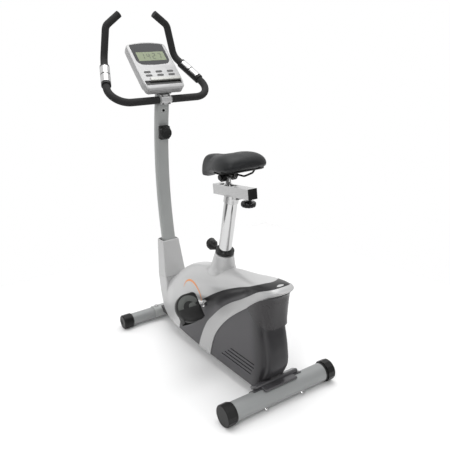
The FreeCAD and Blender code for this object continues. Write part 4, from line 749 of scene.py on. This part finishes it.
def saddle_point(along, around, shrink):
    """Point of the saddle's skin: around runs from the underside's middle over the left edge."""
    angle = (around - 0.25) * math.tau
    share = 0.5 - 0.5 * math.cos(along * math.pi)
    half = plan_half(share) - shrink
    end_fade = max(1 - abs(2 * along - 1) ** 14, 0) ** 0.5
    base, crown = edge_height(share), top_height(share) - shrink
    out = math.cos(angle)
    side = half * math.copysign(abs(out) ** 0.78, out) * end_fade
    lift = math.sin(angle)
    if lift >= 0:
        height = base + (crown - base) * lift ** 0.72 * mix(0.35, 1, end_fade)
        height -= 3.5 * math.exp(-(side / 14) ** 2) * ease(share, 0.08, 0.3) * (1 - ease(share, 0.55, 0.8))
    else:
        height = base - 5 * abs(lift) ** 0.6 * end_fade
    ahead = SADDLE_REAR + shrink + (SADDLE_LENGTH - 2 * shrink) * share
    return at(ahead, side, height)


def make_saddle():
    """Saddle pad, swollen by a cloth simulation and smoothed."""
    pad = sheet(96, 90, lambda along, around: saddle_point(along, around, PAD_SHRINK))
    outward(pad)
    modify(pad, "REMESH", mode="VOXEL", voxel_size=PAD_VOXEL)
    before = [vertex.co.copy() for vertex in pad.data.vertices]
    pick(pad)
    cloth = pad.modifiers.new("cloth", "CLOTH")
    cloth.settings.use_pressure = True
    cloth.settings.uniform_pressure_force = 4
    cloth.settings.effector_weights.gravity = 0
    cloth.settings.quality = 6
    for step in range(1, CLOTH_STEPS + 1):
        bpy.context.scene.frame_set(step)
    bpy.ops.object.modifier_apply(modifier=cloth.name)
    bpy.context.scene.frame_set(1)
    for vertex, start in zip(pad.data.vertices, before):
        shift = vertex.co - start
        if shift.length > PAD_CAP:
            vertex.co = start + shift * (PAD_CAP / shift.length)
    modify(pad, "SMOOTH", factor=0.5, iterations=6)
    modify(pad, "SUBSURF", levels=1, render_levels=1)
    settle(pad, "saddle_cushion", VINYL, "saddle", ["saddle_pad"], angle=80)


# ---------------------------------------------------------------- console

FACE_ANGLE = math.radians(46)
FACE_UP = Vector((math.cos(FACE_ANGLE), 0, math.sin(FACE_ANGLE)))
FACE_OUT = Vector((-math.sin(FACE_ANGLE), 0, math.cos(FACE_ANGLE)))
CONSOLE_LIP = (703.8, 0, 1111)


def on_console(right, up, out):
    """Place on the console: millimetres to the right, up the face from its lower lip, and out of it."""
    return at(*CONSOLE_LIP) + Vector((0, -right * MM, 0)) + FACE_UP * (up * MM) + FACE_OUT * (out * MM)


def corner_arc(centre, radius, start, end, count):
    """Points of an arc; its angles are in degrees."""
    angles = [math.radians(mix(start, end, index / count)) for index in range(count + 1)]
    return [(centre[0] + radius * math.cos(angle), centre[1] + radius * math.sin(angle)) for angle in angles]


def console_edge(shrink):
    """Outline of the console's face, anticlockwise from the lower middle."""
    low = corner_arc((72, 16), 16, -90, -8, 8)
    right = [(89, 22), (92.5, 32), (93.2, 60), (93.2, 100), (93.2, 140), (93, 180), (92.5, 215)]
    top = corner_arc((74, 234), 18, 5, 80, 8)
    crown = [(52, 256.5), (26, 260.2)]
    half = [(x - math.copysign(shrink, x), y + (shrink if y < 128 else -shrink))
            for x, y in low + right + top + crown]
    left = [(-x, y) for x, y in reversed(half)]
    return [(0, 1 + shrink)] + half + [(0, 261.5 - shrink)] + left


def lofted(rings):
    """Closed body through a list of rings that all have the same number of points."""
    count, last = len(rings[0]), len(rings) - 1
    piece = sheet(count, last, lambda around, up: rings[round(up * last)][round(around * count) % count])
    outward(piece)
    cap_open_ends(piece)
    return piece


def cap_open_ends(piece):
    """Fills the open ends of a sleeve."""
    pick(piece)
    bpy.ops.object.mode_set(mode="EDIT")
    bpy.ops.mesh.select_all(action="SELECT")
    bpy.ops.mesh.fill_holes(sides=0)
    bpy.ops.mesh.select_all(action="SELECT")
    bpy.ops.mesh.normals_make_consistent(inside=False)
    bpy.ops.object.mode_set(mode="OBJECT")


def slab(outline, low, high, place):
    """Flat outline raised between two levels of a frame given by its place function."""
    push = place(0, 0, high) - place(0, 0, low)
    return prism([place(x, y, low) for x, y in outline], push)


def window_outline(shrink):
    """Outline of the dark window: straight across the top, round at the lower corners."""
    low = corner_arc((46, 163), 32 - shrink, -78, 0, 10)
    top = [(78 - shrink, 244 - shrink), (52, 249 - shrink), (26, 252 - shrink)]
    half = low + top
    return [(0, 128.5 + shrink)] + half + [(0, 253 - shrink)] + [(-x, y) for x, y in reversed(half)]


SEGMENTS = {"a": ((0, 2), (1, 2)), "b": ((1, 1), (1, 2)), "c": ((1, 0), (1, 1)), "d": ((0, 0), (1, 0)),
            "e": ((0, 0), (0, 1)), "f": ((0, 1), (0, 2)), "g": ((0, 1), (1, 1))}
NUMERALS = {"1": "bc", "2": "abged", "4": "fgbc", "7": "abc"}


def make_digits():
    """Seven-segment numerals on the display."""
    bars = []
    for index, numeral in enumerate("1427"):
        left = -46 + index * 26
        for segment in NUMERALS[numeral]:
            (x0, y0), (x1, y1) = SEGMENTS[segment]
            centre = (left + (x0 + x1) / 2 * 12 + (y0 + y1) * 0.7, 164 + (y0 + y1) / 2 * 14.5)
            length, height = (9, 2.6) if y0 == y1 else (2.6, 11)
            outline = [(centre[0] + sx * length / 2, centre[1] + sy * height / 2)
                       for sx, sy in ((-1, -1), (1, -1), (1, 1), (-1, 1))]
            bars.append(slab(outline, -0.7, -0.2, on_console))
    pick(bars[0])
    for bar in bars:
        bar.select_set(True)
    bpy.ops.object.join()
    return bars[0]


def make_console():
    """Console shell with its seam, window, display, numerals and reading ledge."""
    profile = [(9, -37.8), (4, -37), (1.5, -34), (0.6, -26), (0.2, -12.9), (1.2, -12.4), (1.2, -11.8),
               (0.2, -11.3), (0, -6), (0.6, -2.6), (2.2, -0.9), (5, 0)]
    rings = [[on_console(x, y, out) for x, y in console_edge(shrink)] for shrink, out in profile]
    body = lofted(rings)
    combine(body, slab(window_outline(0), -1.6, 4, on_console), "DIFFERENCE")
    ledge = [(-83, 21), (83, 21), (84, 46), (-84, 46)]
    combine(body, slab(ledge, -7, 4, on_console), "DIFFERENCE")
    settle(body, "console_shell", CONSOLE, "frame", ["console_front", "console_back"])
    lens = slab(window_outline(0.4), -1.5, -0.7, on_console)
    settle(lens, "console_lens", WINDOW, "frame", ["console_window"])
    glass = slab([(-63, 154), (65, 154), (65, 203), (-63, 203)], -1.0, -0.5, on_console)
    settle(glass, "console_display", DISPLAY, "frame", ["lcd_panel"])
    settle(make_digits(), "console_numerals", DIGIT, "frame")
    pocket = slab([(-82.7, 21.3), (82.7, 21.3), (83.6, 45.7), (-83.6, 45.7)], -7, -5.6, on_console)
    settle(pocket, "console_ledge_pocket", GLOSS_BLACK, "frame")
    bar = slab([(-54, 43), (86, 43), (86, 58), (-54, 58)], -5, 4.0, on_console)
    modify(bar, "BEVEL", width=0.0012, segments=3)
    settle(bar, "console_ledge_bar", BAR_GREY, "frame")


# ---------------------------------------------------------------- pedals

PEDAL_BODIES = {"left": "pedal_l", "right": "pedal_r"}
PEDAL_EYES = {"left": (364, 108, 285), "right": (666, -108, 215)}
PEDAL_SWING = math.radians(130)
PEDAL_ARC, PEDAL_MIDDLE = 58, 44


def pedal_place(side):
    """Place function of one pedal: toe, outwards and up from its spindle, in millimetres."""
    eye = at(*PEDAL_EYES[side])
    sign = 1 if side == "left" else -1

    def place(toe, out, up):
        ahead = toe * math.cos(PEDAL_SWING) + up * math.sin(PEDAL_SWING)
        rise = -toe * math.sin(PEDAL_SWING) + up * math.cos(PEDAL_SWING)
        return eye + Vector((ahead * MM, sign * out * MM, rise * MM))

    return place


def pedal_outline(shrink):
    """Outline of a pedal seen from above, with its round outer end."""
    inner = corner_arc((41, 14), 17 - shrink, -90, 0, 7)
    outer = corner_arc((0, PEDAL_MIDDLE), PEDAL_ARC - shrink, 0, 180, 36)
    heel = corner_arc((-41, 14), 17 - shrink, 180, 270, 7)
    return inner + outer + heel


def make_pedals():
    """Pedals with their grip pads and toe covers."""
    for side in ("left", "right"):
        place = pedal_place(side)
        levels = [(3.5, 9.8), (1.2, 9), (0, 7), (0, -7), (1.0, -9), (3.4, -10), (6.4, -10), (7.2, -7.4)]
        body = lofted([[place(x, y, up) for x, y in pedal_outline(shrink)] for shrink, up in levels])
        angles = [turn * math.pi / 16 for turn in range(32)]
        bore = [place(6.2 * math.cos(angle), -2, 6.2 * math.sin(angle)) for angle in angles]
        combine(body, prism(bore, place(0, 82, 0) - place(0, -2, 0)), "DIFFERENCE")
        settle(body, "pedal_body_" + side, PEDAL_BODY, PEDAL_BODIES[side],
               ["pedal_" + side])
        ring = corner_arc((0, 44), 50, 90, 232, 30) + corner_arc((-23.4, 14), 12, 232, 412, 8)[1:-1]
        ring += list(reversed(corner_arc((0, 44), 26, 90, 232, 24)))
        c_pad = slab(ring, -9.6, -7, place)
        modify(c_pad, "BEVEL", width=0.0005, segments=2)
        settle(c_pad, "pedal_c_pad_" + side, PEDAL_PAD, PEDAL_BODIES[side])
        half_moon = corner_arc((0, 30), 17, 90, 270, 20)
        dot = slab(half_moon, -9.6, -7, place)
        modify(dot, "BEVEL", width=0.0005, segments=2)
        settle(dot, "pedal_half_pad_" + side, PEDAL_PAD, PEDAL_BODIES[side])

        def dome(along, across):
            out = mix(-1.5, 100.5, across)
            reach = 57 if out < 44 else math.sqrt(max(57 ** 2 - (out - 44) ** 2, 0.01))
            if out < 14:
                reach = 41 + math.sqrt(max(16 ** 2 - (14 - out) ** 2, 0))
            toe = mix(1.5, reach, along)
            swell = (1 - along ** 2.6) ** 0.5 * max(1 - abs(2 * across - 1) ** 5, 0) ** 0.4
            return place(toe, out, -9.2 - 9 * swell)

        cover = sheet(30, 60, dome)
        outward(cover)
        modify(cover, "SOLIDIFY", thickness=1.5 * MM, offset=-1)
        settle(cover, "pedal_toe_cover_" + side, PEDAL_BODY, PEDAL_BODIES[side])


# ---------------------------------------------------------------- knobs

def grooved_knob(centre, axis, profile, lobes, depth, first, last):
    """Knob turned about an axis; its rim is fluted between two shares of the profile."""
    side = axis.orthogonal().normalized()
    other = axis.cross(side)
    steps = len(profile) - 1

    def place(around, up):
        angle = around * math.tau
        radius, level = profile[round(up * steps)]
        if first <= up <= last:
            radius -= depth * (0.5 + 0.5 * math.cos(lobes * angle)) ** 3
        spoke = side * math.cos(angle) + other * math.sin(angle)
        return centre + spoke * (radius * MM) + axis * (level * MM)

    piece = sheet(lobes * 12, steps, place)
    outward(piece)
    cap_open_ends(piece)
    return piece


DIAL_PROFILE = [(5, -11), (28, -11), (29.6, -10), (30, -6), (29.6, -2.6), (28.4, -1.4), (27.2, -0.4),
                (26, 6), (24.6, 10), (22.6, 11.6), (17, 12), (15.6, 11.4), (15, 10.6), (5, 10.4),
                (0.4, 10.4)]
WHEEL_PROFILE = [(4, -12), (20, -12), (25, -11), (27, -8), (27.4, -3), (27, 2), (25, 4.4), (18, 5),
                 (13.6, 6.4), (10.6, 9), (9.4, 13), (4, 13)]
LOCK_PROFILE = [(4, -46), (7, -46), (7, -31), (15, -29), (17, -26), (20.4, -4), (20.6, -1), (19.4, 1),
                (16, 2), (4, 2)]


def make_knobs():
    """Tension dial, rail clamp wheel and the head of the seat lock, each with a fluted rim."""
    low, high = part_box("tension_knob")
    middle = (Vector(low) + Vector(high)) / 2
    dial = grooved_knob(middle, DIAL_AXIS, DIAL_PROFILE, 20, 1.5, 0.14, 0.62)
    settle(dial, "tension_dial", GLOSS_BLACK, "dial", ["tension_knob"])
    low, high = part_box("rail_knob")
    middle = (Vector(low) + Vector(high)) / 2
    up = Vector((-math.sin(RAIL_TILT), 0, math.cos(RAIL_TILT)))
    wheel = grooved_knob(middle, up, WHEEL_PROFILE, 12, 2.2, 0.1, 0.6)
    settle(wheel, "rail_clamp_wheel", GLOSS_BLACK, "rail_lock", ["rail_knob"])
    low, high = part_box("seat_lock_knob")
    end = Vector((high[0], 0, (low[2] + high[2]) / 2)) + LOCK_AXIS * -0.004 + Vector((0, 0, 0.008))
    head = grooved_knob(end, LOCK_AXIS, LOCK_PROFILE, 16, 1.1, 0.3, 0.72)
    settle(head, "seat_lock_head", GLOSS_BLACK, "lock")


# ---------------------------------------------------------------- small pieces

def rounded_block(centre, size, radius, turn=0.0):
    """Box with rounded edges, turned about the Y axis."""
    bpy.ops.mesh.primitive_cube_add(size=1, location=centre, rotation=(0, turn, 0))
    block = bpy.context.object
    block.scale = [length * MM for length in size]
    bpy.ops.object.transform_apply(location=False, rotation=False, scale=True)
    modify(block, "BEVEL", width=radius * MM, segments=5)
    return block


def tube_skin(base, end, facing, radius, first, last, name, material):
    """Thin shell round a grip between two of its points; angles in degrees from the facing side."""
    along = (end - base).normalized()
    across = along.cross(facing)

    def place(share, around):
        angle = math.radians(mix(first, last, around))
        spoke = facing * math.cos(angle) + across * math.sin(angle)
        return at(*(base.lerp(end, share) + spoke * radius))

    shell = sheet(2, 48, place)
    modify(shell, "SOLIDIFY", thickness=0.8 * MM, offset=-1)
    outward(shell)
    settle(shell, name, material, "handlebar")


GRIP_LOW, GRIP_HIGH = (728, 255, 1063), (936, 169, 1233)
HOLDER_RADIUS, PLATE_RADIUS, PLATE_HALF_ANGLE = 19.6, 20.3, 64


def make_sensors():
    """Black holder and two metal plates of each pulse sensor; the plates face up towards the rider."""
    for side, tag in ((1, "l"), (-1, "r")):
        start = Vector((GRIP_LOW[0], side * GRIP_LOW[1], GRIP_LOW[2]))
        end = Vector((GRIP_HIGH[0], side * GRIP_HIGH[1], GRIP_HIGH[2]))
        along = (end - start).normalized()
        facing = (Vector((0, 0, 1)) - along * along.z).normalized()
        tube_skin(start.lerp(end, 0.40), start.lerp(end, 0.825), facing, HOLDER_RADIUS, 0, 359.9,
                  "sensor_holder_" + tag, BLACK)
        for label, low, high in (("lower", 0.445, 0.605), ("upper", 0.625, 0.785)):
            tube_skin(start.lerp(end, low), start.lerp(end, high), facing, PLATE_RADIUS,
                      -PLATE_HALF_ANGLE, PLATE_HALF_ANGLE, "sensor_plate_%s_%s" % (label, tag), STEEL)


def make_details():
    """End plug of the seat rail and the rounded plates over the rear tube."""
    low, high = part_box("seat_rail")
    plug = rounded_block(Vector((low[0] + 0.0016, 0, high[2] - 0.0190)), (3.4, 38.6, 38.6), 1.2, RAIL_TILT)
    settle(plug, "rail_end_plug", BLACK, "seat")
    tongue = rounded_block(at(24, 0, 80), (34, 204, 16), 7, math.radians(24))
    settle(tongue, "rear_plate_tongue", PLATE, "frame")
    base = rounded_block(at(2, 0, 79), (46, 150, 9), 4)
    settle(base, "rear_plate_pad", PLATE, "frame")


make_camera()
make_studio()
make_covers()
make_column()
make_shroud()
make_neck()
make_accent()
make_saddle()
make_console()
make_pedals()
make_knobs()
make_details()
make_sensors()
